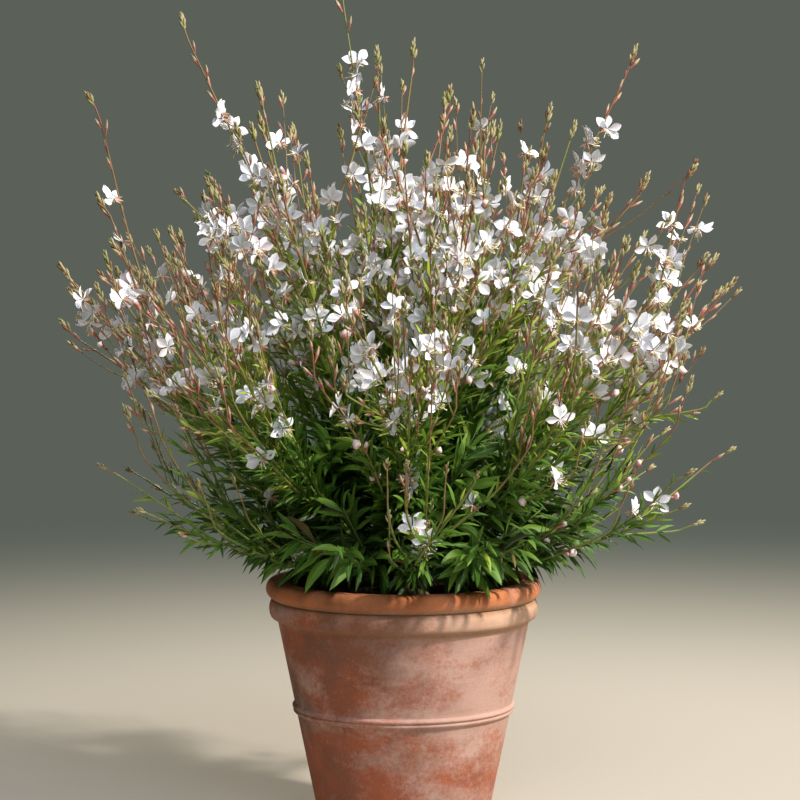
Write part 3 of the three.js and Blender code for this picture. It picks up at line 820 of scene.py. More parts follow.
class Heap:
    """Many small shapes of one piece, gathered into one mesh."""

    def __init__(self):
        self.points, self.faces, self.tones, self.count = [], [], [], 0

    def add(self, points, groups, tones):
        """Adds shapes that are built alike: their points [shapes, points, 3], the faces of
        one shape by their number of corners, and each face's material [shapes, faces]."""
        shapes, each = points.shape[:2]
        offsets = self.count + each * np.arange(shapes)
        done = 0
        for faces in groups:
            placed = faces[None] + offsets[:, None, None]
            self.faces.append(placed.reshape(-1, faces.shape[1]))
            self.tones.append(tones[:, done : done + len(faces)].ravel())
            done += len(faces)
        self.points.append(points.reshape(-1, 3))
        self.count += shapes * each

    def add_blades(self, centre, side, half, form, tones):
        """Adds thin blades that narrow to a point at both ends: their middle lines
        [n, s, 3], which way is across [n, 3] and their half widths [n, s]. The form is the
        columns across a blade and the lift of each, as shares of the half width, and the
        tone of each strip between them, where -1 stands for the blade's own tone."""
        columns, lifts, strips = form
        stations, count = centre.shape[1], len(columns)
        along = unit(np.gradient(centre, axis=1))
        side = unit(side[:, None] - dot(side[:, None], along) * along)
        face = np.cross(side, along)
        width = half[:, 1:-1, None, None]
        inner = (
            centre[:, 1:-1, None]
            + side[:, 1:-1, None] * width * np.array(columns)[:, None]
            + face[:, 1:-1, None] * width * np.array(lifts)[:, None]
        )
        tip = 1 + (stations - 2) * count
        grid = np.arange(1, tip).reshape(stations - 2, count)
        ends = [(0, b, a) for a, b in zip(grid[0], grid[0, 1:])]
        ends += [(a, b, tip) for a, b in zip(grid[-1], grid[-1, 1:])]
        corners = [grid[:-1, :-1], grid[:-1, 1:], grid[1:, 1:], grid[1:, :-1]]
        groups = [np.array(ends), np.stack(corners, axis=-1).reshape(-1, 4)]
        strips = np.tile(strips, stations - 1)
        self.add(with_ends(centre, inner), groups, np.where(strips < 0, tones[:, None], strips))

    def add_tubes(self, centre, radii, sides, tones, crumple=None):
        """Adds closed tubes: their middle lines [n, s, 3], and their radii [n, s] and the
        tones of their stretches [n, s - 1], or one row of either for all of them."""
        shapes, stations = centre.shape[:2]
        along = unit(np.gradient(centre, axis=1))
        across = np.cross(centre[:, -1] - centre[:, 0], UP)
        across[np.linalg.norm(across, axis=1) < 1e-6] = (1, 0, 0)
        side = unit(across[:, None] - dot(across[:, None], along) * along)
        front = np.cross(side, along)
        angle = (2 * math.pi * np.arange(sides) / sides)[:, None]
        ring = np.cos(angle) * side[:, :, None] + np.sin(angle) * front[:, :, None]
        radii = np.broadcast_to(radii, (shapes, stations))
        points = with_ends(centre, centre[:, :, None] + ring * radii[:, :, None, None])
        if crumple:
            points = points + crumple(points.shape)
        top = 1 + stations * sides
        grid = np.arange(1, top).reshape(stations, sides)
        tones = np.broadcast_to(tones, (shapes, stations - 1))
        tones = np.concatenate([tones[:, [0, -1]], tones], axis=1)
        self.add(points, ring_faces(grid, 0, top), np.repeat(tones, sides, axis=1))

    def make(self, name, materials):
        mesh = bpy.data.meshes.new(name)
        points = (np.concatenate(self.points) * MM).astype(np.float32)
        corners = np.concatenate([faces.ravel() for faces in self.faces]).astype(np.int32)
        sizes = np.concatenate([np.full(len(f), f.shape[1]) for f in self.faces])
        starts = np.concatenate([[0], np.cumsum(sizes)[:-1]]).astype(np.int32)
        tones = np.concatenate(self.tones).astype(np.int32)
        mesh.vertices.add(len(points))
        mesh.vertices.foreach_set("co", points.ravel())
        mesh.loops.add(len(corners))
        mesh.loops.foreach_set("vertex_index", corners)
        mesh.polygons.add(len(starts))
        mesh.polygons.foreach_set("loop_start", starts)
        mesh.polygons.foreach_set("material_index", tones)
        mesh.update(calc_edges=True)
        mesh.validate()
        for material in materials:
            mesh.materials.append(material)
        mesh.shade_smooth()
        return show(name, mesh)


def show(name, data):
    """Puts a new object in the scene: a mesh, a light or the camera."""
    shown = bpy.data.objects.new(name, data)
    bpy.context.scene.collection.objects.link(shown)
    return shown


def hand_over(piece, slot, *nodes):
    """Joins a piece to the body and hides the nodes that it stands for. The slot is not used."""
    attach(piece, "root")
    if nodes:
        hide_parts(*nodes)


def numbered(prefix, headings):
    return [f"{prefix}_{i + 1:02d}" for i in range(len(headings))]


def places(specs):
    """The points of the limbs' fine paths that specs name by limb and share, and the way
    that the limb runs there."""
    fine = np.array([limb.fine for limb in plant().limbs])
    limb, share = specs[:, 0].astype(int), specs[:, 1].clip(0, 0.999) * (STATIONS - 1)
    i = share.astype(int)
    a, b = fine[limb, i], fine[limb, i + 1]
    return blend(a, b, (share - i)[:, None]), unit(b - a)


def away(along, angle):
    """Directions that leave stems sideways, turned about them by angles."""
    side = np.cross(along, UP)
    side[np.linalg.norm(side, axis=1) < UPRIGHT] = (1, 0, 0)
    side = unit(side)
    return side * np.cos(angle)[:, None] + np.cross(along, side) * np.sin(angle)[:, None]


def curve(root, way, bend, size, stations):
    """Middle lines that start one way and bend, all of a given size."""
    steps = np.linspace(0, 1, stations)[None, :, None]
    ways = unit(way[:, None] + bend[:, None] * steps**1.3)
    paces = ways[:, :-1] * (size / (stations - 1))[:, None, None]
    travelled = np.cumsum(paces, axis=1)
    return root[:, None] + np.concatenate([np.zeros_like(paces[:, :1]), travelled], axis=1)


# Materials


# The inputs that the values of a node fill, in their order
INPUTS = {
    "Bump": ("Height", "Distance", "Strength"),
    "MapRange": ("Value", "From Min", "From Max", "To Min", "To Max"),
    "Mapping": ("Vector", "Scale"),
    "Math": (0, 1),
    "Mix": (0, 6, 7),
    "MixShader": (0, 1, 2),
    "TexNoise": ("Vector", "Scale", "Detail", "Roughness"),
    "VectorMath": ("Vector",),
}


def add_node(tree, kind, inputs=(), **settings):
    """Adds a shader node with its settings. Its inputs are given by name or in the order
    above: a node or a socket is linked, and anything else is set."""
    node = tree.nodes.new("ShaderNode" + kind)
    for name, value in settings.items():
        setattr(node, name, value)
    if not isinstance(inputs, dict):
        inputs = dict(zip(INPUTS.get(kind, ()), inputs))
    for name, value in inputs.items():
        if isinstance(value, bpy.types.Node):
            value = next(output for output in value.outputs if output.enabled)
        if isinstance(value, bpy.types.NodeSocket):
            tree.links.new(value, node.inputs[name])
        else:
            node.inputs[name].default_value = value
    return node


def new_material(name):
    """An empty material, the function that adds a node to it, and its coordinates in metres."""
    material = bpy.data.materials.new(name)
    material.use_nodes = True
    material.node_tree.nodes.clear()
    add = functools.partial(add_node, material.node_tree)
    return material, add, add("TexCoord").outputs["Object"]


def layered(add, colour, layers):
    """A colour with others laid over it, each by its share."""
    for share, code in layers:
        over = linear(code) if isinstance(code, str) else code
        colour = add("Mix", (share, colour, over), data_type="RGBA")
    return colour


def surface(add, base, rough, relief, specular=0.5):
    """Joins the colour, the roughness and the relief of a material in its shader."""
    inputs = {"Base Color": base, "Roughness": rough, "Normal": relief}
    inputs["Specular IOR Level"] = specular
    add("OutputMaterial", {"Surface": add("BsdfPrincipled", inputs)})


def per_mm(size):
    """The scale of a pattern whose patches are about this many millimetres across."""
    return 1 / (size * MM)


def living(name, colour, rough, grain_mm, relief_mm, specular=0.5):
    """A plant's surface. Each spray has one plain colour, so that it stays where it is on
    a mesh of many blades, and a fine relief breaks up its gloss."""
    material, add, coords = new_material(name)
    grain = add("TexNoise", (coords, per_mm(grain_mm), 2, 0.55))
    rough = add("MapRange", (grain, 0.3, 0.7, rough - 0.1, rough + 0.12))
    surface(add, colour, rough, add("Bump", (grain, relief_mm * MM, 0.5)), specular)
    return material


def finished(finish, **colours):
    """A table of materials that share a finish: the last arguments of living()."""
    return [(name, code, *finish) for name, code in colours.items()]


def tones_of(table, **chosen):
    """The materials of a table. A colour that the settings hold comes in by its name."""
    return [living(name, chosen.get(name) or linear(code), *rest) for name, code, *rest in table]


# Young stems are smooth and faintly glossy, green at the foot, olive half way and russet
# under the buds.
STEM_TONES = finished(
    (0.55, 2.5, 0.15),
    stem_green="#667b36",
    stem_olive="#828440",
    stem_russet="#886e44",
    stem_red_brown="#8a5642",
)
# Gaura leaves are thin and softly glossy. Their greens are painted light and shade: a painted
# sunlit yellow-green outside and above, and a deep green in the heart of the plant as painted
# shade. Some of the lowest are flushed with red. The large ones have a paler midrib.
LEAF_TONES = finished(
    (0.52, 3.0, 0.25, 0.35),
    leaf_deep_green="#233b10",
    leaf_green="#3a6019",
    leaf_fresh_green="#5a7f24",
    leaf_sunlit_green="#8ea336",
    leaf_red_flushed="#6f5a34",
) + finished((0.55, 2.0, 0.15, 0.35), leaf_midrib="#6f8a3c")
RED_FLUSHED, MIDRIB = 4, 5
# Petals are matt, thin and pure white, greyer down their middle strips, partly vein colour and
# partly painted shade, and turn faintly pink as they fade.
PETAL_TONES = finished(
    (0.6, 1.5, 0.12),
    petal_white=None,
    petal_cool_white="#e3e8f1",
    petal_fading_pink="#efe0e1",
    petal_vein_grey="#e4e1e6",
)
VEIN_AND_SHADE = 3
# Filaments are smooth and white, anthers powdery with buff pollen, the stigma cream.
STAMEN_TONES = (
    finished((0.5, 1.0, 0.05), filament_white="#f1ece8")
    + finished((0.7, 1.0, 0.08), anther_buff_yellow="#cdbd88")
    + finished((0.6, 1.0, 0.05), stigma_cream="#efe7c8")
)
# The ovary is green flushed with red, the tube rose, and the sepals are a paler salmon.
TUBE_TONES = (
    finished((0.6, 1.5, 0.1), ovary_green_red="#8c7f4a")
    + finished((0.55, 1.5, 0.1), tube_rose="#b58d75", sepal_salmon="#d2ac9a")
)
# Buds are smooth rose with an olive foot and a pale end, and the small ones at the tips are
# downy and khaki. Seed pods are dry and brown, spent flowers limp, papery and pink.
BUD_TONES = (
    finished((0.6, 1.5, 0.1), bud_foot_olive_red="#84603f")
    + finished((0.5, 1.5, 0.1), bud_rose=None, bud_pale_pink="#c39d86")
    + finished((0.65, 1.0, 0.15), bud_tip_khaki="#a69b72", bud_tip_green="#8d8f55")
    + finished((0.7, 1.2, 0.15), seed_pod_brown="#94764a")
    + finished((0.65, 1.5, 0.15), spent_pink_white="#e9d3cf", spent_rose="#cf9490")
)
BUD_FOOT, TIP_KHAKI, TIP_GREEN = 0, 3, 4


# Turned pieces

POT_HEIGHT, RIM_FOOT, BAND_FOOT = 270.0, 249.5, 228.5
FOOT_RADIUS, SHOULDER_RADIUS, MOUTH_RADIUS = 92.0, 138.8, 128.0
GROOVE_RADIUS, RIM_RADIUS, BAND_RADIUS = 143.0, 151.0, 147.5
RIM_FORM, BAND_FORM = (18, (0.8, 1.5)), (16, (1.3, 0.9))  # steps, fullness above and below
LIP, LEDGE = 4.0, 2.0  # rounding of the mouth, step under the band
RING = Sizes(middle=128.5, half=6.6, proud=3.5, wide=5, split=1.1, split_depth=0.5, room=9)
FOOT_BEVEL = ((1.5, 0.8), (4, 0.0))  # in from the foot's radius, height
POT_FLOOR, POT_WALL = 16.0, 13.0
WAVES = Sizes(count=6, size=0.35)
NEAR_AXIS = 0.5  # radius of the smallest ring of a turned piece
DRAIN_RADIUS, DRAIN_CIRCLE, DRAINS = 7.0, 45.0, 3
SOIL = Sizes(
    top=250.0,
    fall=4,  # from its flat middle to the edge
    flat=45,
    gap=0.4,  # between it and the pot
    below=(200, 120, 16.3),  # heights of its rings down the wall
    sides=200,
    rings=62,
    lumps=1.3,
    settled=0.8,
    smooth=36,  # radius within which the root crown presses it flat
    pressed=0.6,
)
DOME = 24.0  # radius of the root crown
CROWN_FOOT = 250.3
CROWN_FLARE = ((NEAR_AXIS, CROWN_FOOT), (33, CROWN_FOOT), (29, 252), (26.2, 254.3), (24.4, 258))


def wall_radius(height):
    return blend(FOOT_RADIUS, SHOULDER_RADIUS, height / BAND_FOOT)


def wall(top, bottom, steps):
    return [(wall_radius(h), h) for h in np.linspace(top, bottom, steps)]


def inside_radius(height):
    share = min((height - POT_FLOOR) / (RIM_FOOT - POT_FLOOR), 1)
    return blend(wall_radius(POT_FLOOR) - POT_WALL, MOUTH_RADIUS, share)


def moulding(top, bottom, inner, outer, steps, fullness):
    """A rounded moulding from one height down to another. Each half is fuller than a
    quarter circle under 1, and runs out in a hollow over 1."""
    outline = []
    middle, half = (top + bottom) / 2, (top - bottom) / 2
    for angle in np.linspace(0, math.pi, steps + 1):
        share = math.sin(angle) ** fullness[int(angle > math.pi / 2)]
        outline.append((blend(inner, outer, share), middle + half * math.cos(angle)))
    return outline


def ring_profile():
    """The raised ring, a bead with a fine split round its middle."""
    outline = []
    for h in np.linspace(RING.half, -RING.half, 23):
        split = RING.split_depth * math.exp(-((h / RING.split) ** 2))
        proud = RING.proud * (math.exp(-((h / RING.wide) ** 6)) - split)
        outline.append((wall_radius(RING.middle + h) + proud, RING.middle + h))
    return outline


def lip_profile():
    middle = MOUTH_RADIUS + LIP
    turns = np.linspace(0, math.pi / 2, 5)
    return [(middle - LIP * math.cos(a), POT_HEIGHT - LIP + LIP * math.sin(a)) for a in turns]


def pot_profile():
    """Radius and height of the pot's outline, from the floor inside round to the foot."""
    return (
        [(NEAR_AXIS, POT_FLOOR)]
        + [(inside_radius(h), h) for h in np.linspace(POT_FLOOR, RIM_FOOT, 12)]
        + lip_profile()
        + moulding(POT_HEIGHT, RIM_FOOT, GROOVE_RADIUS, RIM_RADIUS, *RIM_FORM)[1:]
        + moulding(RIM_FOOT, BAND_FOOT, GROOVE_RADIUS, BAND_RADIUS, *BAND_FORM)[1:-1]
        + [(SHOULDER_RADIUS + LEDGE, BAND_FOOT)]
        + wall(BAND_FOOT - 4, RING.middle + RING.room, 12)
        + ring_profile()
        + wall(RING.middle - RING.room, 3, 16)
        + [(FOOT_RADIUS - inset, height) for inset, height in FOOT_BEVEL]
        + [(NEAR_AXIS, 0.0)]
    )


def lathed(profile, sides, uneven):
    """Points and faces of a turned shape that is closed on its axis at both ends."""
    profile = np.array(profile)
    angle = 2 * math.pi * np.arange(sides) / sides
    radius = profile[:, :1] + uneven(angle[None], profile[:, 1:])
    height = np.repeat(profile[:, 1:], sides, 1)
    points = np.stack([radius * np.cos(angle), radius * np.sin(angle), height], axis=-1)
    ends = [(0, 0, profile[0, 1]), (0, 0, profile[-1, 1])]
    points = np.concatenate([points.reshape(-1, 3), ends])
    grid = np.arange(len(profile) * sides).reshape(len(profile), sides)
    return points[None], ring_faces(grid, grid.size, grid.size + 1)


def turned_piece(name, shape, material):
    """A piece of one turned shape and one material."""
    points, groups = shape
    heap = Heap()
    heap.add(points, groups, np.zeros((1, sum(map(len, groups))), int))
    return heap.make(name, [material])


def terracotta(settings):
    """Weathered terracotta: porous fired clay, thrown and turned, so it is matt and faintly
    sandy. Lime salts have dried on it as a pale bloom, paler on the right partly as painted
    light, and its left side is darker: a brown film laid on there as painted shade."""
    material, add, coords = new_material("weathered_terracotta")
    place = add("SeparateXYZ", {0: coords}).outputs
    across, height = place[0], place[2]

    def cloudy(where, size, detail, rough, *levels):
        return add("MapRange", (add("TexNoise", (where, per_mm(size), detail, rough)), *levels))

    def round_pot(middle, inner, outer, strength):
        """A soft line round the pot at a height in millimetres."""
        above = add("Math", (height, middle * MM), operation="SUBTRACT")
        distance = add("Math", (above,), operation="ABSOLUTE")
        return add("MapRange", (distance, inner, outer, strength, 0))

    # The bloom lies in clouds, broken up by a fine mottle. There is more of it above the ring and
    # on the ring, more on the right, partly real bloom and partly painted light on the lit side,
    # and hardly any on the rim, where hands wear it.
    clouds = (
        cloudy(add("Mapping", (coords, (1, 1, 1.7))), 75, 6, 0.66, 0, 1, 0, 0.66),
        cloudy(coords, 4.5, 5, 0.75, 0, 1, 0, 0.34),
        # More bloom on the right: partly real bloom, partly painted light on the lit side.
        add("MapRange", (across, -0.1, 0.12, -0.07, 0.095)),
        add("MapRange", (height, 0.07, 0.14, -0.045, 0.025)),
        add("MapRange", (height, 0.25, 0.256, 0, -0.16)),
        round_pot(RING.middle, 0.004, 0.02, 0.08),
    )
    amount = clouds[0]
    for cloud in clouds[1:]:
        amount = add("Math", (amount, cloud), operation="ADD")
    bloom = add("MapRange", (amount, 0.435, 0.6, 0.04, 0.93))
    # Painted light: a cream tint on the right, lit side of the band.
    right_painted_light = add("MapRange", (across, -0.05, 0.1, 0, 0.45))
    # Painted shade: the brown film is laid on far more strongly towards the left.
    left_painted_shade = add("MapRange", (across, -0.11, 0.12, 1.7, 0.15))
    film = cloudy(coords, 110, 5, 0.7, 0.44, 0.62, 0, 0.5)
    layers = (
        (cloudy(coords, 45, 3, 0.55, 0.35, 0.7), "#9a4f30"),  # clay fired redder
        (add("MapRange", (height, 0.235, 0.262, 0, 0.75)), "#d07c43"),  # clean clay of the rim
        (bloom, settings.bloom),
        (round_pot(BAND_FOOT + 10, 0.01, 0.022, right_painted_light), "#e6bb92"),  # painted light: a cream tint on the band's lit right side
        (add("Math", (film, left_painted_shade), operation="MULTIPLY"), "#74503e"),  # brown film, laid on far more strongly on the left as painted shade
        (round_pot(BAND_FOOT - 1, 0.001, 0.006, 0.5), "#8d6844"),  # dust and painted shade under the band
        (round_pot(RIM_FOOT, 0.001, 0.006, 0.6), "#8d6844"),  # and under the rim, also dust and painted shade
        (cloudy(coords, 1.6, 2, 0.55, 0.6, 0.72, 0, 0.16), "#e0c9b8"),  # grit
        (cloudy(coords, 2.6, 2, 0.7, 0.62, 0.74, 0, 0.4), "#7d4630"),  # pores
    )
    sand = add("TexNoise", (coords, per_mm(1.1), 3, 0.7))
    turning = add("TexNoise", (add("Mapping", (coords, (0.15, 0.15, 1))), per_mm(9), 2, 0.55))
    turning = add("Math", (turning, 1.6), operation="MULTIPLY")
    relief = add("Math", (sand, turning), operation="ADD")
    rough = add("MapRange", (bloom, 0, 0.9, 0.78, 0.93))
    colour = layered(add, settings.clay, layers)
    surface(add, colour, rough, add("Bump", (relief, 0.0006, 0.55)))
    return material


def potting_mix(settings):
    """Potting mix: peat and composted bark, dark when damp, with paler fibres and grit."""
    material, add, coords = new_material("damp_potting_mix")
    crumbs = add("TexNoise", (coords, per_mm(3.5), 4, 0.7))
    fibres = add("TexNoise", (add("Mapping", (coords, (1, 0.2, 1))), per_mm(5), 3, 0.55))
    layers = (
        (add("MapRange", (crumbs, 0.35, 0.7)), "#5a4331"),
        (add("MapRange", (fibres, 0.62, 0.7, 0, 0.7)), "#8a6f50"),
    )
    rough = add("MapRange", (crumbs, 0.3, 0.7, 0.85, 1))
    relief = add("Bump", (crumbs, 0.0015, 0.8))
    surface(add, layered(add, settings.mix, layers), rough, relief)
    return material


def old_bark():
    """Thin grey-brown bark of an old root crown, split along its length."""
    material, add, coords = new_material("root_crown_bark")
    splits = add("TexNoise", (add("Mapping", (coords, (1, 1, 0.3))), per_mm(5), 4, 0.65))
    share = add("MapRange", (splits, 0.38, 0.62))
    rough = add("MapRange", (splits, 0.3, 0.7, 0.8, 0.95))
    colour = layered(add, linear("#4a3826"), [(share, "#86704f")])
    surface(add, colour, rough, add("Bump", (splits, 0.0012, 0.9)))
    return material


def drain_drill():
    """Upright rods where the drain holes go."""
    rods = bmesh.new()
    for i in range(DRAINS):
        turn = 2 * math.pi * (i + 0.25) / DRAINS
        rod = bmesh.ops.create_cone(
            rods,
            cap_ends=True,
            segments=32,
            radius1=DRAIN_RADIUS * MM,
            radius2=DRAIN_RADIUS * MM,
            depth=2 * POT_FLOOR * MM,
        )
        x, y = math.cos(turn) * DRAIN_CIRCLE * MM, math.sin(turn) * DRAIN_CIRCLE * MM
        bmesh.ops.translate(rods, verts=rod["verts"], vec=(x, y, POT_FLOOR * MM / 2))
    return mesh_of(rods, "drains")


def mesh_of(shape, name):
    mesh = bpy.data.meshes.new(name)
    shape.to_mesh(mesh)
    shape.free()
    return mesh


def hand_thrown(angle, height):
    """The slight waves of a pot thrown by hand, in millimetres."""
    random = np.random.default_rng(3)
    total = np.zeros(np.broadcast(angle, height).shape)
    for _ in range(WAVES.count):
        turns, rise = random.integers(1, 7), random.uniform(-0.05, 0.05)
        total += np.sin(turns * angle + rise * height + random.uniform(0, 6.3))
    return total * WAVES.size / WAVES.count


class GAURA_OT_pot(Operator):
    """Turns the terracotta pot, with its rolled rim, band, ring and drain holes"""

    bl_idname = "gaura.pot"
    bl_label = "Terracotta pot"

    def execute(self, context):
        settings = context.scene.gaura_pot
        shape = lathed(pot_profile(), settings.sides, hand_thrown)
        pot = turned_piece("terracotta_pot", shape, terracotta(settings))
        drains = show("drains", drain_drill())
        cut = pot.modifiers.new("drains", "BOOLEAN")
        cut.object, cut.operation, cut.solver = drains, "DIFFERENCE", "EXACT"
        graph = context.evaluated_depsgraph_get()
        drilled = bpy.data.meshes.new_from_object(pot.evaluated_get(graph))
        pot.modifiers.clear()
        pot.data = drilled
        bpy.data.objects.remove(drains)
        hand_over(pot, "terracotta", "pot")
        return {"FINISHED"}


class GAURA_OT_potting_mix(Operator):
    """Fills the pot with crumbly potting mix"""

    bl_idname = "gaura.potting_mix"
    bl_label = "Potting mix"

    def execute(self, context):
        low = SOIL.top - SOIL.fall
        edge = inside_radius(low) - SOIL.gap
        radii = np.linspace(1, edge, SOIL.rings)
        falls = [max(r - SOIL.flat, 0) / (edge - SOIL.flat) for r in radii]
        profile = [(r, blend(SOIL.top, low, fall)) for r, fall in zip(radii, falls)]
        profile += [(inside_radius(h) - SOIL.gap, h) for h in SOIL.below]
        profile.append((1, SOIL.below[-1]))
        points, groups = lathed(profile, SOIL.sides, lambda angle, height: 0 * angle * height)
        crumbs = points[0, : SOIL.rings * SOIL.sides].reshape(SOIL.rings, SOIL.sides, 3)
        lumps = np.random.default_rng(11).normal(0, SOIL.lumps, crumbs.shape[:2])
        lumps = (lumps + np.roll(lumps, 1, 0) + np.roll(lumps, 1, 1)) / 1.8
        smooth = np.linalg.norm(crumbs[:, :, :2], axis=2) < SOIL.smooth
        crumbs[:, :, 2] += np.where(smooth, -SOIL.pressed, lumps - SOIL.settled)
        mix = potting_mix(context.scene.gaura_pot)
        piece = turned_piece("crumbly_potting_mix", (points, groups), mix)
        hand_over(piece, "potting_mix", "soil")
        return {"FINISHED"}


class GAURA_OT_root_crown(Operator):
    """Makes the short woody stub, flared to the soil, that every stem leaves"""

    bl_idname = "gaura.root_crown"
    bl_label = "Root crown"

    def execute(self, context):
        turns = np.linspace(0, math.pi / 2 - 0.04, 14)
        dome = [(DOME * math.cos(a), HUB[2] + DOME * math.sin(a)) for a in turns]

        def ribbed(angle, height):
            ribs = np.sin(9 * angle + 0.05 * height) + 0.7 * np.sin(23 * angle - 0.09 * height)
            below_top = np.clip((HUB[2] + DOME - height) / 10, 0, 1)
            return -0.45 + 0.45 * ribs * below_top * (height > CROWN_FOOT)

        shape = lathed([*CROWN_FLARE, *dome][::-1], 120, ribbed)
        piece = turned_piece("woody_root_crown", shape, old_bark())
        hand_over(piece, "woody_crown", "root_crown")
        return {"FINISHED"}


# The plant's pieces

# Kind of limb, sides of its tube, and the step between those of its stations that it takes
LIMB_TUBES = (("stem", 9, 1), ("wand", 5, 1), ("twig", 5, 3), ("branch", 4, 3))
RIPE = (0.58, 0.8, 0.98)  # shares of the reach at which green turns olive, russet, red-brown
UNRIPE = 900  # the reach that stems and twigs ripen for, so they stay mostly green


class GAURA_OT_stems(Operator):
    """Grows the main stems, the wands and their side branches"""

    bl_idname = "gaura.stems"
    bl_label = "Stems and wands"

    def execute(self, context):
        random = np.random.default_rng(21)
        heap = Heap()
        for kind, sides, step in LIMB_TUBES:
            chosen = [limb for limb in plant().limbs if limb.kind == kind]
            centre = np.array([limb.fine[::step] for limb in chosen])
            facts = np.array([(limb.foot, limb.top, limb.reach) for limb in chosen])
            foot, top, reach = facts.T[..., None]
            steps = np.linspace(0, 1, centre.shape[1])
            radii = blend(foot, top, steps) * random.uniform(0.93, 1.1, centre.shape[:2])
            far = np.linalg.norm(centre - HUB, axis=2)
            ripe = far / (reach if kind in ("wand", "branch") else UNRIPE)
            ripe = ripe + random.uniform(-0.2, 0.12, (len(chosen), 1))
            ripe = ripe - np.interp(centre[:, -1:, 2], (380, 560), (0.2, 0))
            ripe = (ripe[:, 1:] + ripe[:, :-1]) / 2
            heap.add_tubes(centre, radii, sides, np.digitize(ripe, RIPE))
        piece = heap.make("stems_and_wands", tones_of(STEM_TONES))
        hand_over(piece, "green_stems", *numbered("stem", STEM_HEADINGS))
        return {"FINISHED"}


LEAF = Sizes(
    shape=np.array((0, 0.34, 0.78, 1.0, 0.97, 0.74, 0.4, 0)),  # lance-shaped: its half widths
    large=32,  # length from which a leaf shows its midrib
    large_form=((-1, -0.08, 0.08, 1), (0.32, 0, 0, 0.32), (-1, MIDRIB, -1)),
    small_form=((-1, 0, 1), (0.3, 0, 0.3), (-1, -1)),
    narrow=0.06,  # half width as a share of the length, of leaves up to 30 mm
    broad=(0.092, 0.135),  # and of those from 55 mm
    wave=0.07,
    light=(0.2, 0.95, 2.15),  # where the painted shade of deep green turns green, half-lit green and painted sunlit green
    flushed=0.04,  # share of the low outer leaves that are red
)


def leaf_tones(point, random):
    """Painted light and shade: sunlit greens outside and above, deep green in the heart as painted
    shade.
    """
    # Painted light: leaves further out and higher get lighter greens, the heart darker ones.
    far = np.linalg.norm((point - HUB) * (1, 1, 0.9), axis=1) / 250
    light = far * np.interp(point[:, 2], (300, 450), (0.85, 1.5))
    light = light + random.normal(0, 0.55, len(point)) + (point[:, 2] - 300) / 300
    low = (point[:, 2] < 330) & (far > 0.45)
    flushed = low & (random.random(len(point)) < LEAF.flushed)
    return np.where(flushed, RED_FLUSHED, np.digitize(light, LEAF.light))


class GAURA_OT_leaves(Operator):
    """Grows the lance-shaped leaves, the large ones in the heart and the small ones above"""

    bl_idname = "gaura.leaves"
    bl_label = "Leaves"

    def execute(self, context):
        random = np.random.default_rng(31)
        specs = np.array(plant().leaves)
        count = len(specs)
        point, along = places(specs)
        size, angle, roll, sideways, sag = specs[:, 2:7].T
        outward = away(along, angle)
        way = unit(along + outward * sideways[:, None] - UP * sag[:, None])
        # Low leaves near the pot's edge droop over it.
        low = np.clip((350 - point[:, 2]) / 60, 0, 1)
        low = low * np.clip(np.hypot(point[:, 0], point[:, 1]) / 120, 0, 1)
        sag = sag + low * random.uniform(0, 1.6, count)
        bend = outward * random.uniform(0.1, 0.6, (count, 1))
        bend = bend - UP * (sag[:, None] * 1.2 + random.uniform(-0.25, 0.85, (count, 1)))
        bend = bend + np.cross(along, outward) * random.normal(0, 0.4, (count, 1))
        centre = curve(point, way, bend, size, len(LEAF.shape))
        out = np.hypot(centre[:, :, 0], centre[:, :, 1])
        clear = (centre[:, :, 2] > floor_at(out, LEAF_FLOORS)).all(1)
        side = np.cross(along, outward)
        side = side * np.cos(roll)[:, None] + np.cross(way, side) * np.sin(roll)[:, None]
        broad = np.clip((size - 30) / 25, 0, 1)
        half = size * blend(LEAF.narrow, random.uniform(*LEAF.broad, count), broad) + 0.3
        wave = 1 + LEAF.wave * np.sin(np.arange(len(LEAF.shape)) * 2.4)
        half = half[:, None] * LEAF.shape * wave
        tones = leaf_tones(point, random)
        materials = tones_of(LEAF_TONES)

        def make(name, chosen, form, *nodes):
            heap = Heap()
            kept = chosen & clear
            heap.add_blades(centre[kept], side[kept], half[kept], form, tones[kept])
            hand_over(heap.make(name, materials), "leaves", *nodes)

        large = size > LEAF.large
        make("base_leaves", large, LEAF.large_form, *numbered("leafy_mass", LEAFY_HEADINGS))
        make("stem_leaves", ~large, LEAF.small_form)
        return {"FINISHED"}


PETAL = Sizes(
    angles=(-82.5, -27.5, 27.5, 82.5),  # from upright
    spread=6,
    length=(0.86, 1.08),  # of the length that is set
    steps=np.array((0, 0.17, 0.35, 0.54, 0.73, 0.89, 1.0)),  # places along it
    shape=np.array((0, 0.2, 0.68, 1.02, 0.93, 0.47, 0)),  # a narrow claw, then an oval blade
    half=(0.245, 0.3),  # widest half width, of the length
    # The middle strips take the vein grey, partly painted shade.
    form=((-1, -0.5, 0, 0.5, 1), (-0.22, -0.02, 0.05, -0.02, -0.22), (-1, VEIN_AND_SHADE, VEIN_AND_SHADE, -1)),
    curl=3.6,
    twist=0.22,
    fading=(0.6, 0.92),  # shares of the flowers that are pure white, and white at all
)
STAMEN = Sizes(count=8, droop=(0.25, 0.95), longer=0, radii=(0.3, 0.27, 0.72, 0.4), tones=(0, 0, 1))
STYLE = Sizes(count=1, droop=(0.75,), longer=3, radii=(0.32, 0.3, 0.3, 0.9), tones=(0, 0, 2))
STAMEN_LENGTH = (9.5, 12.5)
TUBE = Sizes(length=10, bend=6.5, radii=(0.8, 1.2, 0.8, 0.8, 1.25), tones=(0, 1, 1, 1))
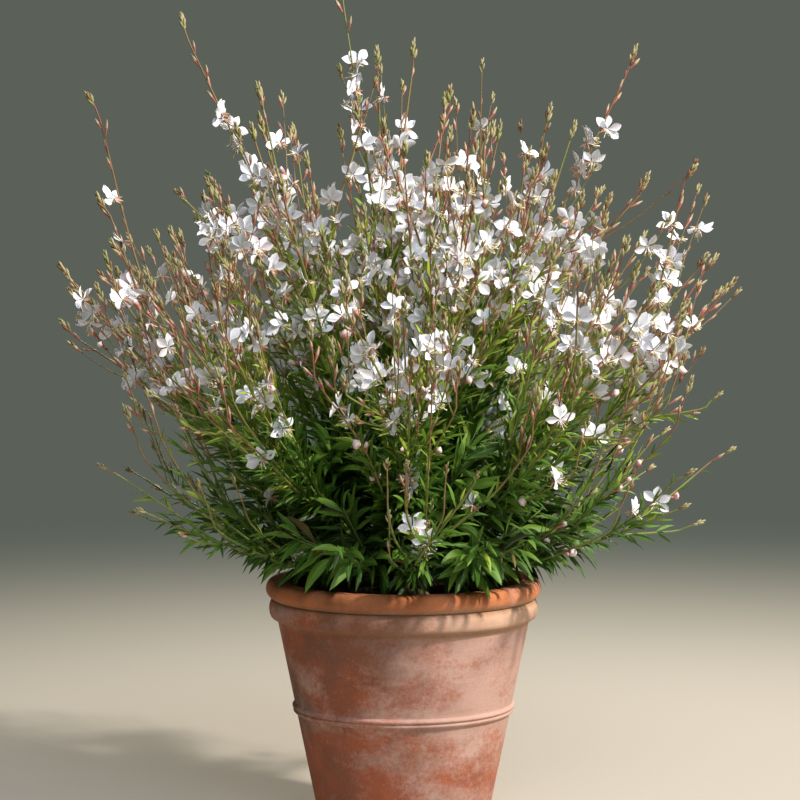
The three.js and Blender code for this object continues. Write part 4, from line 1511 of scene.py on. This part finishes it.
SEPAL = Sizes(
    angles=(-150, -115, 115, 150),
    spread=9,
    length=(8.5, 11),
    fold=(0.3, 1.0),
    half=np.array((0, 0.85, 1.0, 0.85, 0.5, 0)) * 1.15,
    form=((-1, 0, 1), (0.3, 0, 0.3), (-1, -1)),
)


@dataclass
class Blossom:
    """Each open flower's foot on its wand, its throat, and the ways that it is set out by."""

    foot: np.ndarray
    throat: np.ndarray
    upright: np.ndarray
    across: np.ndarray
    facing: np.ndarray
    out: np.ndarray

    def rays(self, organ, random):
        """The ways that a flower's petals or sepals go, at about their angles."""
        turn = np.array(organ.angles)[None] * RAD
        turn = turn + random.normal(0, organ.spread, (len(self.foot), turn.size)) * RAD
        upright, across = self.upright[:, None], self.across[:, None]
        return np.cos(turn)[..., None] * upright + np.sin(turn)[..., None] * across


def blossom():
    """The open flowers, which face away from the plant's axis and a little up."""
    specs = np.array(plant().flowers)
    point, along = places(specs)
    out = unit(away(along, specs[:, 2]) + along * FLOWER.rise + UP * FLOWER.lift)
    x, y, z = ((point - HUB) * (1, 1, 0)).T
    cos, sin = np.cos(specs[:, 3]), np.sin(specs[:, 3])
    facing = np.stack([x * cos - y * sin, x * sin + y * cos, z], axis=1)
    facing = unit(unit(facing) + UP * 0.3)
    facing = unit(facing - dot(facing, out) * out)
    upright = unit(blend(out, UP, 0.45))
    upright = unit(upright - dot(upright, facing) * facing)
    across = np.cross(facing, upright)
    return Blossom(point, point + out * TUBE.length, upright, across, facing, out)


def petals(flowers, settings, random):
    """Four clawed petals in the upper half of each flower, which lean out and curl back."""
    count, each = len(flowers.foot), len(PETAL.angles)
    ray = flowers.rays(PETAL, random)
    size = settings.petal / MM * random.uniform(*PETAL.length, (count, each))
    forward = random.normal(0.1, 0.16, (count, each))
    size, forward = size[..., None], forward[..., None]
    steps = PETAL.steps[None, None, :]
    push = 1 + size * (forward + 0.16) * steps - PETAL.curl * steps**2.2
    facing = flowers.facing[:, None]
    centre = (
        flowers.throat[:, None, None]
        + ray[:, :, None] * (size * steps)[..., None]
        + facing[:, None] * push[..., None]
    )
    side = np.cross(facing, ray).reshape(-1, 3)
    twist = random.normal(0, PETAL.twist, (len(side), 1))
    side = side + np.repeat(flowers.facing, each, 0) * twist
    half = PETAL.shape * (size.reshape(-1, 1) * random.uniform(*PETAL.half, (len(side), 1)))
    tones = np.repeat(np.digitize(random.random(count), PETAL.fading), each)
    heap = Heap()
    heap.add_blades(centre.reshape(len(side), -1, 3), side, half, PETAL.form, tones)
    return heap.make("petals", tones_of(PETAL_TONES, petal_white=tuple(settings.petal_colour)))


def stamens_and_styles(flowers, random):
    """Eight stamens that fan out and droop below each flower, and one longer style."""
    facing, across, upright = flowers.facing, flowers.across, flowers.upright
    count = len(facing)
    heap = Heap()
    for organ in (STAMEN, STYLE):
        each = organ.count
        fan = np.linspace(-1, 1, each) if each > 1 else np.zeros(1)
        fan = fan[None] * 0.75 + random.normal(0, 0.14, (count, each))
        droop = np.full((count, each), organ.droop[0])
        if each > 1:
            droop = random.uniform(*organ.droop, (count, each))
        way = facing[:, None] + across[:, None] * fan[..., None]
        way = way - upright[:, None] * droop[..., None]
        bend = upright[:, None] * random.uniform(0, 0.6, (count, each, 1)) - UP * 0.25
        size = random.uniform(*STAMEN_LENGTH, (count, each)) + organ.longer
        start = np.repeat(flowers.throat + facing * 0.6, each, 0)
        ways, bends = unit(way.reshape(-1, 3)), bend.reshape(-1, 3)
        lines = curve(start, ways, bends, size.reshape(-1), len(organ.radii))
        heap.add_tubes(lines, organ.radii, 3, organ.tones)
    return heap.make("stamens_and_styles", tones_of(STAMEN_TONES))


def tubes_and_sepals(flowers, random):
    """Each flower's curved tube with its ovary, and four sepals that fold back."""
    count, each = len(flowers.foot), len(SEPAL.angles)
    foot, throat, facing = flowers.foot, flowers.throat, flowers.facing
    steps = np.linspace(0, 1, len(TUBE.radii))[None, :, None]
    middle = foot + flowers.out * TUBE.bend
    ways = (1 - steps) ** 2 * foot[:, None] + 2 * steps * (1 - steps) * middle[:, None]
    ways = ways + steps**2 * (throat + facing * 0.8)[:, None]
    heap = Heap()
    heap.add_tubes(ways, TUBE.radii, 5, TUBE.tones)
    ray = flowers.rays(SEPAL, random)
    way = (ray - facing[:, None] * random.uniform(*SEPAL.fold, (count, each, 1))).reshape(-1, 3)
    facing = np.repeat(facing, each, 0)
    size = random.uniform(*SEPAL.length, len(way))
    lines = curve(np.repeat(throat, each, 0), unit(way), -facing * 0.5, size, len(SEPAL.half))
    side = np.cross(facing, ray.reshape(-1, 3))
    half = np.tile(SEPAL.half, (len(way), 1))
    heap.add_blades(lines, side, half, SEPAL.form, random.integers(1, 3, len(way)))
    return heap.make("flower_tubes_and_sepals", tones_of(TUBE_TONES))


class GAURA_OT_flowers(Operator):
    """Opens the white flowers: four clawed petals, stamens and style, tube and sepals"""

    bl_idname = "gaura.flowers"
    bl_label = "Flowers"

    def execute(self, context):
        random = np.random.default_rng(41)
        flowers = blossom()
        white = petals(flowers, context.scene.gaura_blossom, random)
        hand_over(white, "wands_and_blossom", *numbered("flower_mass", STEM_HEADINGS))
        hand_over(stamens_and_styles(flowers, random), "wands_and_blossom")
        hand_over(tubes_and_sepals(flowers, random), "wands_and_blossom")
        return {"FINISHED"}


# Radii along the way, the tones of the stretches and the sides of buds, seed pods and
# spent flowers
BUD_FORMS = (
    ((0.45, 0.6, 1.15, 1.7, 1.4, 0.35), (0, 1, 1, 2, 3), 4),
    ((0.5, 1.1, 1.3, 1.2, 0.9, 0.25), (5, 5, 0, 0, 0), 4),
    ((0.6, 1.1, 1.5, 2.5, 3.9, 2.4), (0, 1, 1, 7, 6), 6),
)
USUAL_BUD = 11.5  # length of a bud for which the growth rule's lengths hold
# The ears of bud tips, full ones first: how far down they reach, buds and their size
EARS = (((15, 24), 9, 1), ((9, 14), 5, 0.8))
BUD_TIP = Sizes(
    radii=np.array((0.6, 1.5, 1.45, 0.35)),
    usual=9.5,  # length of a bud tip that has these radii
    length=(11.5, 8.5),  # at the ear's foot and top
    lean=(0.46, 0.22),
)


def buds(scale, materials, random):
    specs = np.array(plant().buds)
    point, along = places(specs)
    size, angle, sideways, form = specs[:, 2:6].T
    way = unit(along + away(along, angle) * sideways[:, None])
    heap = Heap()
    for number, (radii, tones, sides) in enumerate(BUD_FORMS):
        own = form == number
        count = int(own.sum())
        spent = number == SPENT_FLOWER
        bend = -UP * np.full((count, 1), 0.3) if spent else along[own] * 0.5
        lines = curve(point[own], way[own], bend, (size * scale)[own], len(radii))
        widths = np.array(radii) * random.uniform(0.85, 1.15, (count, 1))
        crumple = None
        if spent:
            widths = widths * random.uniform(0.7, 1.2, widths.shape)
            crumple = functools.partial(random.normal, 0, 0.62)
        heap.add_tubes(lines, widths, sides, tones, crumple)
    return heap.make("buds", materials)


def bud_tips(materials, random):
    """Ears of small pointed buds round the last stretch of each wand."""
    rows, sizes = [], []
    for limb in plant().limbs:
        if limb.kind not in ("wand", "branch"):
            continue
        span, number, scale = EARS[limb.kind == "branch" or random.random() > limb.ear]
        span = random.uniform(*span)
        for k in range(number):
            share = 1 - span * (1 - (k + 0.4) / number) / limb.length
            rows.append((limb.index, share, (k * GOLDEN) * RAD, k / number))
            sizes.append(blend(*BUD_TIP.length, k / number) * scale)
    rows, sizes = np.array(rows), np.array(sizes) * random.uniform(0.85, 1.15, len(sizes))
    point, along = places(rows)
    onward = rows[:, 3:]
    way = unit(along + away(along, rows[:, 2]) * blend(*BUD_TIP.lean, onward))
    lines = curve(point, way, along * 0.7, sizes, len(BUD_TIP.radii))
    pale = random.random(onward.shape) < 0.75 - 0.35 * (1 - onward)
    dark = np.where(random.random(onward.shape) < 0.6, TIP_GREEN, BUD_FOOT)
    widths = BUD_TIP.radii * (sizes / BUD_TIP.usual)[:, None]
    heap = Heap()
    heap.add_tubes(lines, widths, 4, np.where(pale, TIP_KHAKI, dark))
    return heap.make("bud_tips", materials)


class GAURA_OT_buds(Operator):
    """Sets the rose buds, the seed pods, the spent flowers and the pale bud tips"""

    bl_idname = "gaura.buds"
    bl_label = "Buds and bud tips"

    def execute(self, context):
        settings = context.scene.gaura_blossom
        random = np.random.default_rng(51)
        materials = tones_of(BUD_TONES, bud_rose=tuple(settings.bud_colour))
        piece = buds(settings.bud / MM / USUAL_BUD, materials, random)
        hand_over(piece, "wands_and_blossom")
        hand_over(bud_tips(materials, random), "wands_and_blossom")
        return {"FINISHED"}


# Floor, lights and camera, in metres

FLOOR_RADIUS, FADE = 60, (0.7, 3.4)  # distances from which and to which the floor fades
CAMERA_PLACE, CAMERA_TILT, LENS = (-0.0038, -3.273, 0.701), 4.1, 135.0
# Name, place, height of the spot above the origin that it is aimed at, size, colour
LAMPS = (
    ("key_light", (2.9, -1.4, 3.1), 0.5, 0.3, "#fff6ea"),
    ("fill_light", (0.8, -2.8, 3.1), 0.6, 2.2, "#e8f0ff"),
    ("back_light", (0.6, 2.6, 2.4), 0.55, 1.6, "#fff8ec"),
)


def studio_floor(settings):
    """Matt studio floor, which fades to the backdrop's grey away from the pot."""
    material, add, coords = new_material("matt_studio_floor")
    far = add("VectorMath", (coords,), operation="LENGTH")
    fade = add("MapRange", (far, *FADE), interpolation_type="SMOOTHSTEP")
    tone = layered(add, settings.floor, [(fade, settings.backdrop)])
    near = add("BsdfPrincipled", {"Base Color": tone, "Roughness": 0.9})
    distant = add("Emission", {"Color": settings.backdrop, "Strength": 1.0})
    add("OutputMaterial", {"Surface": add("MixShader", (fade, near, distant))})
    return material


def soft_grey_studio(settings):
    world = bpy.data.worlds.new("soft_grey_studio")
    world.use_nodes = True
    sky = world.node_tree.nodes["Background"]
    sky.inputs["Color"].default_value = settings.backdrop
    sky.inputs["Strength"].default_value = 1.0
    return world


def place_lamp(name, place, aim, size, strength, code):
    lamp = bpy.data.lights.new(name, "AREA")
    lamp.shape, lamp.size, lamp.energy = "DISK", size, strength
    lamp.color = linear(code)[:3]
    light = show(name, lamp)
    gaze = np.array((0, 0, aim)) - np.array(place)
    rise = math.atan2(gaze[2], math.hypot(gaze[0], gaze[1]))
    light.location = place
    light.rotation_euler = (math.pi / 2 + rise, 0, math.atan2(-gaze[0], gaze[1]))


class GAURA_OT_stage(Operator):
    """Sets the plain floor, the soft lights and the camera"""

    bl_idname = "gaura.stage"
    bl_label = "Floor, lights and camera"

    def execute(self, context):
        settings, scene = context.scene.gaura_stage, context.scene
        disc = bmesh.new()
        bmesh.ops.create_circle(disc, cap_ends=True, segments=96, radius=FLOOR_RADIUS)
        floor = show("floor", mesh_of(disc, "floor"))
        floor.data.materials.append(studio_floor(settings))
        scene.world = soft_grey_studio(settings)
        scene.view_settings.view_transform = "Standard"
        strengths = (settings.key, settings.fill, settings.fill * 0.8)
        for (name, place, aim, size, code), strength in zip(LAMPS, strengths):
            place_lamp(name, place, aim, size, strength, code)
        # A long lens from a little above the flowers, as the photograph was taken
        camera = show("camera", bpy.data.cameras.new("camera"))
        camera.data.lens, camera.data.sensor_width = LENS, 36.0
        camera.location = CAMERA_PLACE
        camera.rotation_euler = ((90 - CAMERA_TILT) * RAD, 0, 0)
        scene.camera = camera
        return {"FINISHED"}


class GAURA_PT_panel(Panel):
    """Lists the parts of the potted gaura and their sizes"""

    bl_idname = "GAURA_PT_panel"
    bl_label = "Potted gaura"
    bl_space_type = "VIEW_3D"
    bl_region_type = "UI"
    bl_category = "Gaura"

    def draw(self, context):
        for name, _, operators in PARTS:
            group = getattr(context.scene, name)
            box = self.layout.box()
            for setting in group.bl_rna.properties.keys():
                if setting not in ("rna_type", "name"):
                    box.prop(group, setting)
            for operator in operators:
                box.operator(operator.bl_idname)


PARTS = (
    ("gaura_pot", PotSettings, (GAURA_OT_pot, GAURA_OT_potting_mix, GAURA_OT_root_crown)),
    ("gaura_plant", PlantSettings, (GAURA_OT_stems, GAURA_OT_leaves)),
    ("gaura_blossom", BlossomSettings, (GAURA_OT_flowers, GAURA_OT_buds)),
    ("gaura_stage", StageSettings, (GAURA_OT_stage,)),
)
OPERATORS = [operator for _, _, operators in PARTS for operator in operators]


def register():
    for name, group, _ in PARTS:
        bpy.utils.register_class(group)
        setattr(bpy.types.Scene, name, PointerProperty(type=group))
    for shown in (*OPERATORS, GAURA_PT_panel):
        bpy.utils.register_class(shown)


def unregister():
    for shown in (GAURA_PT_panel, *reversed(OPERATORS)):
        bpy.utils.unregister_class(shown)
    for name, group, _ in reversed(PARTS):
        delattr(bpy.types.Scene, name)
        bpy.utils.unregister_class(group)


def main():
    register()
    for operator in OPERATORS:
        family, name = operator.bl_idname.split(".")
        getattr(getattr(bpy.ops, family), name)()


if __name__ == "__main__":
    main()
